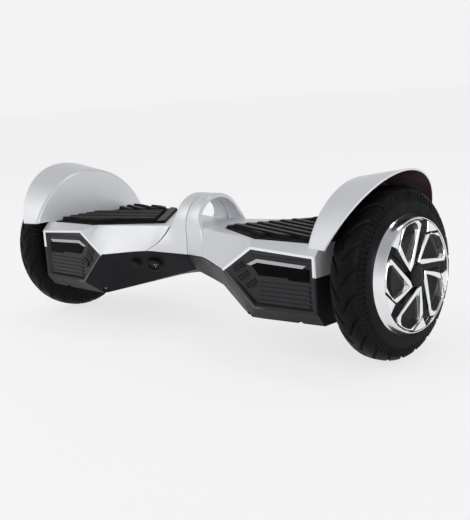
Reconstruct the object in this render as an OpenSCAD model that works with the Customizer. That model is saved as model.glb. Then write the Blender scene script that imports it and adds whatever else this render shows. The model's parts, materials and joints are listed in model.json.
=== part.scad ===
// Self balancing board: two halves that twist against each other about the line of the wheel axles.
// +X runs along the axles to the right wheel, -Y is the front, +Z is up, and z = 0 is the floor.

/* [Wheels] */
// Outer radius of the tyre, which is also the height of the axle above the floor
tyre_r = 105; // [104:0.5:106]
// Distance from the middle of the board to the middle of each tyre
wheel_x = 306; // [306:0.5:308]
// Width of the tyre
tyre_w = 45; // [43:0.5:46]
// Radius of the rim where the tyre's bead sits
bead_r = 70; // [69.5:0.1:70.5]
// Number of petals on the spoke plate
petal_count = 5; // [3:1:7]
// Height of the spoke plate over the rim's web
spoke_h = 7.4; // [5:0.1:7.5]

/* [Motor] */
// Radius of the motor axle where it is clamped and where the bearings sit
axle_r = 7.45; // [7:0.05:7.45]
// Number of stator teeth and coils
tooth_count = 27; // [18:3:27]
// Number of magnets in the rotor
magnet_count = 30; // [20:2:30]
// Air gap between the stator and the magnets
air_gap = 0.8; // [0.5:0.1:1]

/* [Body] */
// Height of the deck above the floor
deck_z = 150; // [149:0.5:151]
// Length of each half, from the seam to its end wall
half_l = 265; // [262:0.5:266]
// Thickness of the covers
wall = 3; // [2:0.1:3.2]
// Gap at the seam between the two halves
seam_gap = 1.2; // [0.8:0.1:2]

/* [Handle] */
// Outer radius of the handle's hoop
hoop_r = 45; // [44:0.5:46]
// Thickness of the handle's hoop
hoop_t = 5.5; // [4:0.5:7]
// Length along the axle of each half of the handle
hoop_l = 23; // [18:0.5:26]

/* [Mudguards] */
// Radius of the flat wall of the mudguard
guard_wall_r = 114; // [112:0.5:116]
// Radius of the mudguard at its outer edge
guard_rim_r = 125; // [122:0.5:130]
// Thickness of the mudguard
guard_t = 2.6; // [2:0.1:4]
// Distance from the middle of the board to the tip of the mudguard
guard_tip_x = 330; // [326:0.5:336]

/* [Foot mats] */
// How far a foot mat goes down when it is stood on
mat_travel = 1.4; // [1:0.1:1.5]
// Height of the mat's ribs above the deck
rib_top = 7; // [5:0.5:8]
// Distance between the ribs
rib_pitch = 14.7; // [13:0.1:16]
// Width of each rib
rib_w = 8; // [6:0.5:9]
// Angle of the ribs to the line of the axles
rib_angle = 20; // [12:1:24]

/* [Pivot] */
// Outer radius of the hollow pivot shaft
pivot_r = 10; // [9:0.5:10]
// Radius of the passage for cables through the pivot shaft
pivot_bore_r = 6.5; // [5:0.5:7]

/* [Controls] */
// Radius of the charging socket's mouth
port_mouth_r = 6; // [5.5:0.1:6.2]
// Radius of the push button
button_r = 5.5; // [4:0.1:6]

/* [Hidden] */
$fn = 96;
fit = 0.03;             // radial clearance of round parts that fit together
slack = 0.3;            // clearance between parts that only sit beside each other
guard_wall_x = 262;     // inner face of the mudguard's flat wall
axle_z = tyre_r;
x0 = seam_gap / 2;      // each half starts here
far = 400;              // longer than anything that it cuts

// Corners of one half in five stations from the seam outwards. Each row is the distance from the
// middle, then half depth and height of the deck edge, the side's upper edge, the side's lower
// edge and the bottom edge, and the height of the underside at mid depth.
body_rows = [
    [0,      [44, deck_z], [45, 112],     [45, 111],    [31, 88],   80.5],
    [34,     [44, deck_z], [60, 115.5],   [60, 114.5],  [33, 79],   75.5],
    [57,     [50, deck_z], [71, 117.5],   [71, 116.5],  [36, 73],   71],
    [119,    [69, deck_z], [100, 113],    [100, 112],   [67, 56],   55.5],
    [145,    [76, deck_z], [98.9, 129.4], [98.9, 88.7], [80, 49.5], 49],
    [168,    [80, deck_z], [98, 144],     [98, 68],     [81, 50],   49.5],
    [half_l, [82, deck_z], [94, 138],     [94, 69],     [82, 53],   52.5]
];
// Line in side view where the top cover meets the bottom cover, from the seam outwards
parting_line = [[0, 111.5], [34, 115], [57, 117], [119, 112.5], [half_l, 113]];
// Corners of the lamp in side view, from the tip that points to the middle
lamp_corners = [[119, 112.5], [168, 144], [263, 138], [263, 69], [168, 68]];
lamp_depth = 14;
// Edge of the handle's leg in side view, from the deck down to the parting line
leg_edge = [[31, 151], [34, 146], [38, 138], [45, 127], [57, 117]];

// Places of the cover screws in one half, as distance from the middle and half depth
cover_screws_at = [[86, 36], [143, 79], [228, 79]];
cover_screw_r = 1.8;
screw_head_r = 3.6;
screw_recess_r = 4.8;

// The mat's outline from its rounded inner corner round the front, the outboard end and the back
mat_points = [[59, -29], [159, -79], [250, -79], [250, 79], [159, 78], [143, 75.5]];
mat_base_z = deck_z - 1.7;
mat_plate_h = 3.2;
mat_strip_w = 15;       // flat strip along the mat's long inner edge
mat_strip_h = 4;        // height of that strip above the deck
mat_edge_w = 7;         // low border along the front, the outboard end and the back
mat_divide_d = 97;      // where the second group of ribs starts, square to the first group

// Wheel, in distances from the middle of the board
rim_in_x = wheel_x - tyre_w / 2 + 0.7;
rim_out_x = wheel_x + tyre_w / 2 + 0.3;
flange_h = 2.25;        // height of the tyre's foot over the rim's seat
web_x = 334;            // outer face of the rim's web
ring_x = web_x + 7;     // outer edge of the polished ring
spoke_r = 66.6;
hub_r = 17;
cap_r = 13.5;
cap_x = 342.5;
bearing_or = 16;
bearing_ir = 7.5;
bearing_w = 9;
bearing_xs = [287, 315];
stator_x = [297, 314];
magnet_r = 60.5;
magnet_t = 3;
stator_r = magnet_r - magnet_t - air_gap - 0.15;

// Frame
plate_z = 97;
plate_t = 4;
block_x = [200, 250];
clamp_x = [206, 240];
clamp_h = 15;
pivot_bearing_or = 16;
pivot_bearing_w = 7;
pivot_bearing_xs = [8, 55];
pivot_boss_l = 64;

// Charging socket and push button, on the lower front of the left half
panel_tilt = [0, 123.7, -64.4];
port_at = [-55, -59.5, 93.5];
button_at = [-80, -72, 96.5];
port_body_r = 8;
port_flange_r = 11.5;

// ---------------------------------------------------------------- helpers

// Draws its children in the right half as they are, or mirrored into the left half
module half(side) { mirror([side < 0 ? 1 : 0, 0, 0]) children(); }

// Draws its children at the front and again, mirrored, at the back
module front_and_back() {
    children();
    mirror([0, 1, 0]) children();
}

// Turns local +Z onto +X, with the local origin on the axle line at distance x
module on_axle(x) { translate([x, 0, axle_z]) rotate([0, 90, 0]) children(); }

// Ring or disc about the axle line between two distances from the middle
module axle_tube(x_from, x_to, r_out, r_in = 0) {
    on_axle(x_from) difference() {
        cylinder(h = x_to - x_from, r = r_out);
        if (r_in > 0) translate([0, 0, -1]) cylinder(h = x_to - x_from + 2, r = r_in);
    }
}

// Solid of revolution about the axle line from points of radius and distance from the middle
module turned(points) { on_axle(0) rotate_extrude() polygon(points); }

// Prism through the board in side view from points of distance and height
module side_prism(points, y_from = -far, y_to = far) {
    translate([0, y_to, 0]) rotate([90, 0, 0]) linear_extrude(height = y_to - y_from) polygon(points);
}

// Box between two corners
module block(low, high) { translate(low) cube(high - low); }

// Places children at a point with local +Z square to the sloping panel at the lower front
module on_panel(at) { translate(at) rotate([0, 0, panel_tilt[2]]) rotate([0, panel_tilt[1], 0]) children(); }

// Polar point
function polar(r, a) = [r * cos(a), r * sin(a)];
// Points of an arc, both ends included
function arc(r, a0, a1, n = 8) = [for (i = [0 : n]) polar(r, a0 + (a1 - a0) * i / n)];

// One row of the body as a closed ring of points, moved inwards by t
function body_ring(row, t) = let (
        deck = [row[1][0] - 1.35 * t, row[1][1] - t],
        upper = [row[2][0] - 1.1 * t, row[2][1]],
        lower = [row[3][0] - 1.1 * t, row[3][1]],
        bottom = [row[4][0] - 0.9 * t, row[4][1] + t]
    ) [
        [row[0], -deck[0], deck[1]], [row[0], -upper[0], upper[1]], [row[0], -lower[0], lower[1]],
        [row[0], -bottom[0], bottom[1]], [row[0], 0, row[5] + t], [row[0], bottom[0], bottom[1]],
        [row[0], lower[0], lower[1]], [row[0], upper[0], upper[1]], [row[0], deck[0], deck[1]]
    ];

// Closed solid through all the rows, moved inwards by t
module body_loft(t = 0) {
    rings = [for (row = body_rows) body_ring(row, t)];
    n = len(rings[0]);
    last = (len(rings) - 1) * n;
    polyhedron(
        points = [for (ring = rings) each ring],
        faces = [
            [for (j = [0 : n - 1]) j],
            [for (j = [n - 1 : -1 : 0]) last + j],
            for (i = [0 : len(rings) - 2], j = [0 : n - 1]) [i * n + j, (i + 1) * n + j, i * n + (j + 1) % n],
            for (i = [0 : len(rings) - 2], j = [0 : n - 1])
                [(i + 1) * n + j, (i + 1) * n + (j + 1) % n, i * n + (j + 1) % n]
        ]
    );
}

// Outside of one half
module body_outside() {
    intersection() {
        body_loft();
        block([x0, -far, 0], [half_l, far, far]);
    }
}

// Hollow of one half
module body_inside() {
    intersection() {
        body_loft(wall);
        block([x0 + wall, -far, 0], [half_l - wall, far, far]);
    }
}

module above_parting() { side_prism(concat(parting_line, [[half_l + 1, far], [-1, far]])); }
module below_parting() { side_prism(concat(parting_line, [[half_l + 1, -1], [-1, -1]])); }

// Space of the lamps at the front and the back, g larger all round
module lamp_space(depth, g = 0) {
    grown = [for (p = lamp_corners) [p[0] + (p[0] < 150 ? -2 * g : p[0] < 200 ? -0.6 * g : g),
                                      p[1] + (p[1] > 120 ? g : p[1] < 80 ? -g : 0)]];
    front_and_back() intersection() {
        side_prism(grown, -far, -80);
        translate([lamp_corners[0][0], -100, 0]) rotate([0, 0, 2.4])
            block([-10, -5, 0], [160, depth, far]);
    }
}

// Region of the handle's leg, between the seam and its curved edge
module leg_space() {
    front_and_back()
        side_prism(concat([[0, 100]], [[0, 151]], leg_edge, [[57, 100]]), -far, -hoop_r + hoop_t);
}

// The mat's outline, grown by m, or pulled in where m is negative
module mat_outline(m) {
    offset(delta = m) polygon(mat_points);
}

// Region of the mat that is more than m from its long inner edge
module mat_past_strip(m) {
    corner = mat_points[0];
    run = mat_points[5] - corner;
    translate(corner) rotate(atan2(run[1], run[0])) translate([-far, -far - m]) square([2 * far, far]);
}

// The deck in plan, grown by m
module deck_area(m) {
    offset(delta = m) polygon(concat([for (row = body_rows) [row[0], -row[1][0]]],
                                     [for (i = [len(body_rows) - 1 : -1 : 0]) [body_rows[i][0], body_rows[i][1][0]]]));
}

// Height of the underside at a distance from the middle
function underside(x) = lookup(x, [for (row = body_rows) [row[0], row[4][1]]]);
recess_h = 9;
boss_h = 18;

// ---------------------------------------------------------------- covers

// Wall of one half, before it is parted into covers
module shell() {
    difference() {
        body_outside();
        body_inside();
    }
}

module top_cover(side) {
    color("silver") half(side) difference() {
        union() {
            intersection() {
                shell();
                above_parting();
            }
            translate([0, 0, deck_z - 7.5]) linear_extrude(height = 5) intersection() {
                mat_outline(3);
                deck_area(-4);
            }
            for (at = cover_screws_at, s = [-1, 1])
                translate([at[0], s * at[1], underside(at[0]) + boss_h])
                    cylinder(h = deck_z - 5 - underside(at[0]) - boss_h, r = 5, $fn = 32);
        }
        leg_space();
        lamp_space(lamp_depth);
        translate([0, 0, deck_z - 5]) linear_extrude(height = 10) mat_outline(slack);
        for (at = cover_screws_at, s = [-1, 1])
            translate([at[0], s * at[1], underside(at[0]) + boss_h - 1])
                cylinder(h = 12, r = cover_screw_r + fit, $fn = 32);
        guard_tabs(slack);
        axle_tube(x0 - 1, x0 + wall + 1, pivot_r + 2);
    }
}

module bottom_cover(side) {
    color("#26282b") half(side) difference() {
        union() {
            intersection() {
                shell();
                below_parting();
            }
            intersection() {
                for (at = cover_screws_at, s = [-1, 1])
                    translate([at[0], s * at[1], underside(at[0]) - 5])
                        cylinder(h = boss_h + 5, r = 6.5, $fn = 32);
                body_outside();
            }
            if (side < 0) intersection() {
                mirror([1, 0, 0]) {
                    on_panel(port_at) translate([0, 0, -7]) cylinder(h = 20, r = port_flange_r + 2.5);
                    on_panel(button_at) translate([0, 0, -7]) cylinder(h = 20, r = button_r + 4.5);
                }
                body_outside();
            }
        }
        lamp_space(lamp_depth);
        for (at = cover_screws_at, s = [-1, 1]) translate([at[0], s * at[1], 0]) {
            translate([0, 0, underside(at[0]) - 10]) cylinder(h = 10 + recess_h, r = screw_recess_r, $fn = 32);
            cylinder(h = far, r = cover_screw_r + 0.3, $fn = 32);
        }
        axle_tube(x0 - 1, x0 + wall + 1, pivot_r + 2);
        axle_tube(half_l - wall - 1, half_l + 1, axle_r + slack);
        if (side < 0) mirror([1, 0, 0]) {
            on_panel(port_at) {
                translate([0, 0, -2]) cylinder(h = 20, r = port_flange_r + slack);
                translate([0, 0, -20]) cylinder(h = 30, r = port_body_r + slack);
            }
            on_panel(button_at) {
                translate([0, 0, -1.5]) cylinder(h = 20, r = button_r + 2.3);
                translate([0, 0, -20]) cylinder(h = 30, r = button_r + 1.3);
            }
        }
    }
}

// Half of the carry handle: a hoop over the deck with legs that flare into the sides of the body
module handle(side) {
    color("silver") half(side) {
        intersection() {
            translate([0, 0, deck_z - 3.6]) rotate([0, 90, 0]) rotate_extrude() polygon([
                [hoop_r - hoop_t, x0], [hoop_r - 0.5, x0], [hoop_r, x0 + 0.5], [hoop_r + 0.8, hoop_l / 2],
                [hoop_r, hoop_l - 4], [hoop_r - 2, hoop_l - 1], [hoop_r - 3.5, hoop_l],
                [hoop_r - hoop_t + 0.7, hoop_l - 0.4], [hoop_r - hoop_t, hoop_l - 1.5]
            ]);
            block([0, -far, deck_z - 0.5], [half_l, far, far]);
        }
        intersection() {
            shell();
            above_parting();
            leg_space();
        }
    }
}

// Slots and tabs that hold the mudguard on the deck, g larger all round
module guard_tabs(g = 0) {
    front_and_back() block([257 - g, 50 - g, deck_z - 8 - g], [260 + g, 62 + g, deck_z + 1]);
}

// Mudguard: a flat wall and a flared arch, cut off above the deck and rounded off in plan
module fender(side) {
    wall_x = guard_wall_x;
    ring = [half_l, guard_wall_r + 1];
    rim = [guard_tip_x, guard_rim_r];
    color("silver") half(side) {
        intersection() {
            turned([
                [0, wall_x], [guard_wall_r, wall_x], [ring[1], ring[0]], [rim[1], rim[0]],
                [rim[1] - guard_t, rim[0]], [ring[1] - guard_t, ring[0] + 1],
                [guard_wall_r - 1.5, wall_x + guard_t], [0, wall_x + guard_t]
            ]);
            translate([0, 0, deck_z]) linear_extrude(height = far)
                polygon(concat([[wall_x - 6, -119], [wall_x - 6, 119]], guard_plan()));
        }
        intersection() {
            block([252, -75, deck_z], [half_l, 75, deck_z + 3]);
            block([252, -far, 0], [half_l, far, far]);
        }
        guard_tabs();
    }
}

// Outboard edge of the mudguard in plan: a full oval
function guard_plan() = [for (a = [90 : -6 : -90])
    [guard_wall_x + (guard_tip_x - guard_wall_x) * pow(cos(a), 0.9), 119 * sin(a)]];

// Ribbed rubber mat that the rider stands on
module foot_mat(side) {
    rib_z = deck_z + 1;
    color("#2b2622") half(side) {
        translate([0, 0, mat_base_z]) linear_extrude(height = mat_plate_h) mat_outline(0);
        translate([0, 0, rib_z]) linear_extrude(height = mat_strip_h - 1) difference() {
            mat_outline(0);
            mat_past_strip(mat_strip_w - 1);
        }
        translate([0, 0, rib_z]) linear_extrude(height = rib_top - 1) intersection() {
            mat_outline(-mat_edge_w);
            translate(mat_points[0]) rotate(-rib_angle)
                for (i = [0 : floor(mat_divide_d / rib_pitch)]) let (d = -6 + i * rib_pitch)
                    translate([15.8 + d * tan(39 - rib_angle), d - rib_w / 2]) square([far, rib_w]);
        }
        translate([0, 0, rib_z]) linear_extrude(height = rib_top - 1) intersection() {
            mat_outline(-mat_edge_w + 2);
            mat_past_strip(mat_strip_w + 2);
            translate(mat_points[0]) rotate(-rib_angle) translate([0, mat_divide_d + 3]) square(far);
            for (i = [0 : 4]) translate([mat_points[5][0] + 14 + i * rib_pitch / sin(rib_angle), mat_points[5][1]])
                rotate(rib_angle) square([far, rib_w], center = true);
        }
    }
}

// Board with two pressure switches under the mat
module foot_sensor_board(side) {
    color("#1f5a34") half(side) {
        block([125, -45, deck_z - 4.98], [235, 45, deck_z - 3.8]);
        for (s = [-1, 1]) translate([172, s * 28, deck_z - 3.8]) cylinder(h = 0.5, r = 9, $fn = 48);
    }
}

// ---------------------------------------------------------------- frame

// Cast frame: a tub over the battery space, a block for the axle and a boss for the pivot
module frame(side) {
    boss_r = side < 0 ? pivot_bearing_or + 3.4 : pivot_r + 6;
    color("#8d9196") half(side) difference() {
        union() {
            block([122, -72, plate_z], [250, 72, plate_z + plate_t]);
            for (s = [-1, 1]) block([137, s * 69.5 - 2.5, 57], [250, s * 69.5 + 2.5, plate_z]);
            block([58, -24, plate_z], [122, 24, plate_z + plate_t]);
            block([block_x[0], -34, 58], [block_x[1], 34, axle_z]);
            axle_tube(x0 + wall + 2, pivot_boss_l, boss_r);
            block([50, -10, plate_z], [100, 10, axle_z + 8]);
        }
        axle_tube(block_x[0] - 1, block_x[1] + 1, axle_r + fit);
        if (side < 0) {
            axle_tube(0, pivot_boss_l + 50, pivot_r + 2);
            for (x = pivot_bearing_xs)
                axle_tube(x < 30 ? 0 : x, x < 30 ? x + pivot_bearing_w : x + 60, pivot_bearing_or + fit);
        } else {
            axle_tube(0, 110, pivot_r + fit);
        }
        for (x = [clamp_x[0] + 8, clamp_x[1] - 8], y = [-22, 22])
            translate([x, y, axle_z - 18]) cylinder(h = 20, r = 3 + fit, $fn = 32);
    }
}

// Clamp that holds the axle down on the frame's block
module axle_clamp(side) {
    color("#5c6066") half(side) difference() {
        union() {
            block([clamp_x[0], -30, axle_z + 0.05], [clamp_x[1], 30, axle_z + 6]);
            intersection() {
                axle_tube(clamp_x[0], clamp_x[1], clamp_h);
                block([0, -far, axle_z + 0.05], [far, far, far]);
            }
        }
        axle_tube(clamp_x[0] - 1, clamp_x[1] + 1, axle_r + fit);
        for (x = [clamp_x[0] + 8, clamp_x[1] - 8], y = [-22, 22])
            translate([x, y, 0]) cylinder(h = far, r = 3 + slack, $fn = 32);
    }
}

// Socket-head screws of the axle clamp
module clamp_screws(side) {
    color("#3a3d40") half(side)
        for (x = [clamp_x[0] + 8, clamp_x[1] - 8], y = [-22, 22]) translate([x, y, axle_z]) difference() {
            union() {
                translate([0, 0, -16]) cylinder(h = 23, r = 3, $fn = 32);
                translate([0, 0, 6]) cylinder(h = 6, r = 5, $fn = 48);
            }
            translate([0, 0, 9]) cylinder(h = 4, r = 2.9, $fn = 6);
        }
}

// Pan-head screws that hold the bottom cover to the posts of the top cover
module cover_screws(side) {
    color("#4a4d50") half(side)
        for (at = cover_screws_at, s = [-1, 1])
            translate([at[0], s * at[1], underside(at[0]) + recess_h]) difference() {
                union() {
                    cylinder(h = boss_h - recess_h + 10, r = cover_screw_r, $fn = 32);
                    translate([0, 0, -2.6]) cylinder(h = 2.6, r = screw_head_r, $fn = 48);
                }
                translate([0, 0, -3.6]) for (a = [0, 90]) rotate([0, 0, a])
                    block([-2.2, -0.5, 0], [2.2, 0.5, 2.4]);
            }
}

// ---------------------------------------------------------------- wheel

// Superellipse of the tyre's section, from one bead over the crown to the other
function tyre_curve(w, h, r0, n = 16) = [for (i = [0 : n]) let (a = -90 + 180 * i / n)
    [r0 + h * pow(abs(cos(a)), 2 / 3), wheel_x + w * sign(sin(a)) * pow(abs(sin(a)), 2 / 3)]];

module tyre(side) {
    color("#17181a") half(side) turned(concat(
        tyre_curve(tyre_w / 2, tyre_r - bead_r - flange_h, bead_r + flange_h),
        [[bead_r + flange_h, rim_out_x - 2.3], [bead_r + fit, rim_out_x - 3.8], [bead_r + fit, wheel_x + 14]],
        [for (p = tyre_curve(tyre_w / 2 - 6, tyre_r - bead_r - 13, bead_r + 2)) [p[0], 2 * wheel_x - p[1]]],
        [[bead_r + fit, wheel_x - 14], [bead_r + fit, rim_in_x + 3.8], [bead_r + flange_h, rim_in_x + 2.1]]
    ));
}

// Rim: the motor's shell, with the tyre seat outside and the polished ring at its outer end
module rim(side) {
    color("#c9cccf") half(side) turned([
        [bearing_or + fit, bearing_xs[1] - 1], [21, bearing_xs[1] - 1], [21, 327], [magnet_r, 327],
        [magnet_r, 290], [66, 290], [66, rim_in_x], [bead_r + 2, rim_in_x], [bead_r + 2, rim_in_x + 2],
        [bead_r, rim_in_x + 3.6], [bead_r, rim_out_x - 3.6], [bead_r + 2.2, rim_out_x - 2.2],
        [bead_r + 2.2, rim_out_x], [spoke_r + 1.2, ring_x], [spoke_r + 0.3, ring_x],
        [spoke_r + 0.3, web_x], [0, web_x], [0, bearing_xs[1] + bearing_w + 0.5],
        [bearing_or + fit, bearing_xs[1] + bearing_w + 0.5]
    ]);
}

// Inboard cover of the motor, which turns with the rim
module motor_cover(side) {
    color("#6d7074") half(side) turned([
        [bearing_or + fit, 286], [66 - fit, 286], [66 - fit, 289.9], [21, 289.9],
        [21, bearing_xs[0] + bearing_w + 0.5], [bearing_or + fit, bearing_xs[0] + bearing_w + 0.5]
    ]);
}

// Ball bearing between two distances from the middle
module ball_bearing(x, w, r_in, r_out, ball_r, balls) {
    land = (r_out - r_in) / 3;
    groove = ball_r + 0.04;
    pitch_r = (r_in + r_out) / 2;
    difference() {
        union() {
            axle_tube(x, x + w, r_out, r_out - land);
            axle_tube(x, x + w, r_in + land, r_in);
        }
        on_axle(x + w / 2) rotate_extrude() translate([pitch_r, 0]) circle(r = groove, $fn = 32);
    }
    on_axle(x + w / 2) for (i = [1 : balls])
        rotate([0, 0, 360 * i / balls]) translate([pitch_r, 0, 0]) sphere(r = ball_r, $fn = 32);
}

module wheel_bearings(side) {
    color("#b8bcc0") half(side)
        for (x = bearing_xs) ball_bearing(x, bearing_w, bearing_ir, bearing_or, 2.1, 9);
}

// Fixed axle, hollow from its inboard end as far as the stator for the motor cable
module motor_axle(side) {
    color("#9a9da1") half(side) difference() {
        union() {
            axle_tube(200, bearing_xs[1] + bearing_w, axle_r);
            axle_tube(bearing_xs[0] + bearing_w + 0.8, bearing_xs[1] - 0.8, 12);
        }
        axle_tube(199, 292, 3.4);
    }
}

// Laminated core with one tooth for each coil
module stator_core(side) {
    color("#707478") half(side) on_axle(stator_x[0]) linear_extrude(height = stator_x[1] - stator_x[0])
        difference() {
            union() {
                circle(r = 31);
                for (i = [1 : tooth_count]) rotate(360 * i / tooth_count) {
                    translate([28, -1.8]) square([stator_r - 29, 3.6]);
                    intersection() {
                        translate([stator_r - 3, -4.6]) square([3, 9.2]);
                        circle(r = stator_r);
                    }
                }
            }
            circle(r = 12 + fit);
            for (i = [1 : 6]) rotate(60 * i) translate([21, 0]) circle(r = 4.5, $fn = 32);
        }
}

// One coil round each tooth
module stator_windings(side) {
    color("#b4622d") half(side) on_axle(0)
        for (i = [1 : tooth_count]) rotate([0, 0, 360 * i / tooth_count]) difference() {
            block([33, -3.2, stator_x[0] - 2.4], [stator_r - 4, 3.2, stator_x[1] + 2.4]);
            block([32, -1.82, stator_x[0] - 0.05], [stator_r, 1.82, stator_x[1] + 0.05]);
        }
}

module magnets(side) {
    color("#a7abaf") half(side) on_axle(0)
        for (i = [1 : magnet_count]) rotate([0, 0, 360 * i / magnet_count])
            block([magnet_r - magnet_t - 0.15, -4.9, 293], [magnet_r - 0.24, 4.9, 318]);
}

// One petal of the spoke plate, with the line from the hub to its middle along local +X
module petal() {
    difference() {
        polygon(concat([polar(15, 58)], [polar(40, 42)], arc(spoke_r, 35, -21), [polar(61, -27)],
                       [polar(15, 20)]));
        polygon(concat([polar(18.5, 38)], [polar(52, 24)], [polar(58, 22)], arc(spoke_r - 3.2, 15, -16),
                       [polar(58, -22)], [polar(55, -22)]));
    }
}

// Chrome plate of curved petals round the hub
module spoke_plate(side) {
    color("#dfe2e5") half(side) on_axle(web_x + 0.02) linear_extrude(height = spoke_h) difference() {
        union() {
            circle(r = hub_r);
            for (i = [0 : petal_count - 1]) rotate(195 + 360 * i / petal_count) petal();
        }
        circle(r = cap_r + 0.2);
    }
}

module hub_cap(side) {
    color("#1b1c1e") half(side) {
        axle_tube(web_x + 0.02, cap_x - 1.5, cap_r);
        on_axle(cap_x - 1.5) cylinder(h = 1.5, r = cap_r, $fn = 8);
    }
}

// Cable from the axle's inboard end down to the half's own electronics
module motor_cable(side) {
    color("#202224") half(side) {
        axle_tube(188, 291, 3);
        translate([188, 0, axle_z]) sphere(r = 3, $fn = 48);
    }
}

// ---------------------------------------------------------------- lamps

// Region of one lamp in side view, moved inwards by g
function lamp_inset(g) = [
    [lamp_corners[0][0] + 1.9 * g, lamp_corners[0][1]], [lamp_corners[1][0] + 0.2 * g, lamp_corners[1][1] - g],
    [lamp_corners[2][0] - g, lamp_corners[2][1] - g], [lamp_corners[3][0] - g, lamp_corners[3][1] + g],
    [lamp_corners[4][0] + 0.4 * g, lamp_corners[4][1] + g]
];

// Slab under the face of the front lamp, between two depths
module lamp_slab(d0, d1) {
    translate([lamp_corners[0][0], -100, 0]) rotate([0, 0, 2.4]) block([-10, d0, 0], [160, d1, far]);
}

// Mouth and floor of the recess in the lamp, and the parts in it, in side view
recess_mouth = [[129, 112.2], [173, 139.6], [260.6, 135.2], [260.6, 71.8], [170, 71.2]];
recess_floor = [[165, 110], [174, 132.4], [252.5, 130.5], [252.5, 74], [168, 74]];
recess_d = 4;
lens_outline = [[166.5, 119.8], [175.8, 124.2], [252, 121.2], [252, 105.8], [223.3, 106], [220.6, 108.5], [176.4, 108.6]];
trim_outline = [[158.8, 121.6], [174.8, 129.1], [249.7, 125.9], [244, 121.9], [175.8, 124.6], [165, 120.4]];
louvre_z = [for (i = [0 : 4]) 75.4 + 5.6 * i];
louvre_h = 2.6;

// Slice of a lamp at one depth under its face
module lamp_slice(points, d) {
    intersection() {
        side_prism(points, -far, -80);
        lamp_slab(d, d + 0.01);
    }
}

module lamp_frames(side) {
    color("#33363a") half(side) front_and_back() {
        difference() {
            intersection() {
                side_prism(lamp_inset(slack), -far, -80);
                lamp_slab(-0.5, lamp_depth);
                body_loft();
            }
            hull() {
                lamp_slice(recess_mouth, -1);
                lamp_slice(recess_mouth, -0.3);
                lamp_slice(recess_floor, recess_d);
            }
            side_prism(lens_outline, -far, 0);
            intersection() {
                side_prism(trim_outline, -far, 0);
                lamp_slab(-5, recess_d + fit);
            }
        }
        for (z = louvre_z) intersection() {
            side_prism([[174, z], [252, z], [252, z + louvre_h], [174, z + louvre_h]], -far, -80);
            lamp_slab(recess_d - 1.3, recess_d + 1);
        }
    }
}

module lamp_lenses(side) {
    color("#0c0d10") half(side) front_and_back() intersection() {
        side_prism(lens_outline, -far, -80);
        lamp_slab(recess_d - 1.4, 7);
    }
}

module lamp_trims(side) {
    color("#b9bcc0") half(side) front_and_back() intersection() {
        side_prism(trim_outline, -far, -80);
        lamp_slab(recess_d - 2.4, recess_d);
    }
}

// Board with a row of light emitting diodes behind the lens
module led_boards(side) {
    color("#1f5a34") half(side) front_and_back() {
        intersection() {
            block([179, -far, 109.4], [250, 0, 120.6]);
            lamp_slab(10.4, 12);
        }
        for (i = [0 : 5]) intersection() {
            block([184 + 11.5 * i, -far, 112.5], [189 + 11.5 * i, 0, 117.5]);
            lamp_slab(9, 10.4);
        }
    }
}

// ---------------------------------------------------------------- pivot and electronics

// Hollow shaft, fixed in the right frame and running in the left frame's bearings
module pivot_shaft() {
    color("#a9adb1") difference() {
        axle_tube(-68, 60, pivot_r, pivot_bore_r);
        axle_tube(-66.6, -65.2, pivot_r + 1, pivot_r - 1);
    }
}

module pivot_bearings() {
    color("#b8bcc0") for (x = pivot_bearing_xs) mirror([1, 0, 0])
        ball_bearing(x, pivot_bearing_w, pivot_r + 0.04, pivot_bearing_or, 1.7, 11);
}

// Ring in the shaft's groove that stops it pulling out of the bearings
module pivot_circlip() {
    color("#54585c") difference() {
        axle_tube(-66.55, -65.25, pivot_r + 2.4, pivot_r - 0.95);
        translate([-70, -2, axle_z]) cube([10, 4, 20]);
    }
}

// Battery pack: wrapped cells in the left half
module battery_pack() {
    color("#2f6fb0") mirror([1, 0, 0]) difference() {
        block([130, -65, 57.4], [197, 65, 94]);
        for (i = [1 : 6]) for (z = [57.4, 94]) translate([129, -65 + 130 / 7 * i, z])
            rotate([0, 90, 0]) cylinder(h = 69, r = 1.2, $fn = 24);
    }
}

module battery_bracket() {
    color("#6a6e72") mirror([1, 0, 0]) {
        block([150, -66.6, 56], [168, 66.6, 57.3]);
        for (s = [-1, 1]) block([150, s * 66 - 0.7, 56], [168, s * 66 + 0.7, 96.9]);
    }
}

// Main control board in the right half, with capacitors, connectors and a row of switching transistors
module control_board() {
    color("#1d5c38") {
        block([128, -50, 78], [192, 50, 79.6]);
        for (y = [-36, -12, 12, 36]) translate([140, y, 79.6]) cylinder(h = 14, r = 5, $fn = 48);
        for (i = [0 : 5]) translate([160, -42 + 16 * i, 79.6]) cube([10, 4.6, 15]);
        for (y = [-40, -20, 0, 20]) translate([180, y, 79.6]) cube([8, 14, 8]);
        for (x = [132, 188], y = [-46, 46]) translate([x, y, 79.6])
            cylinder(h = plate_z - fit - 79.6, r = 3, $fn = 32);
    }
}

// Round charging socket with three pins behind its mouth
module charge_port() {
    color("#3b3e42") on_panel(port_at) {
        difference() {
            union() {
                translate([0, 0, -1.9]) cylinder(h = 2.4, r = port_flange_r);
                translate([0, 0, -16]) cylinder(h = 15, r = port_body_r);
            }
            translate([0, 0, -4.5]) cylinder(h = 20, r = port_mouth_r);
            translate([0, 0, -11]) cylinder(h = 20, r = port_mouth_r - 0.8);
        }
        for (a = [90, 210, 330]) rotate([0, 0, a]) translate([2.8, 0, -18]) cylinder(h = 13, r = 0.9, $fn = 32);
    }
}

// Push button: a round cap on a stem
module power_button() {
    color("#303336") on_panel(button_at) {
        translate([0, 0, -1.2]) cylinder(h = 3, r = button_r);
        translate([0, 0, -6.5]) cylinder(h = 5.5, r = button_r - 2.5);
    }
}

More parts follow.
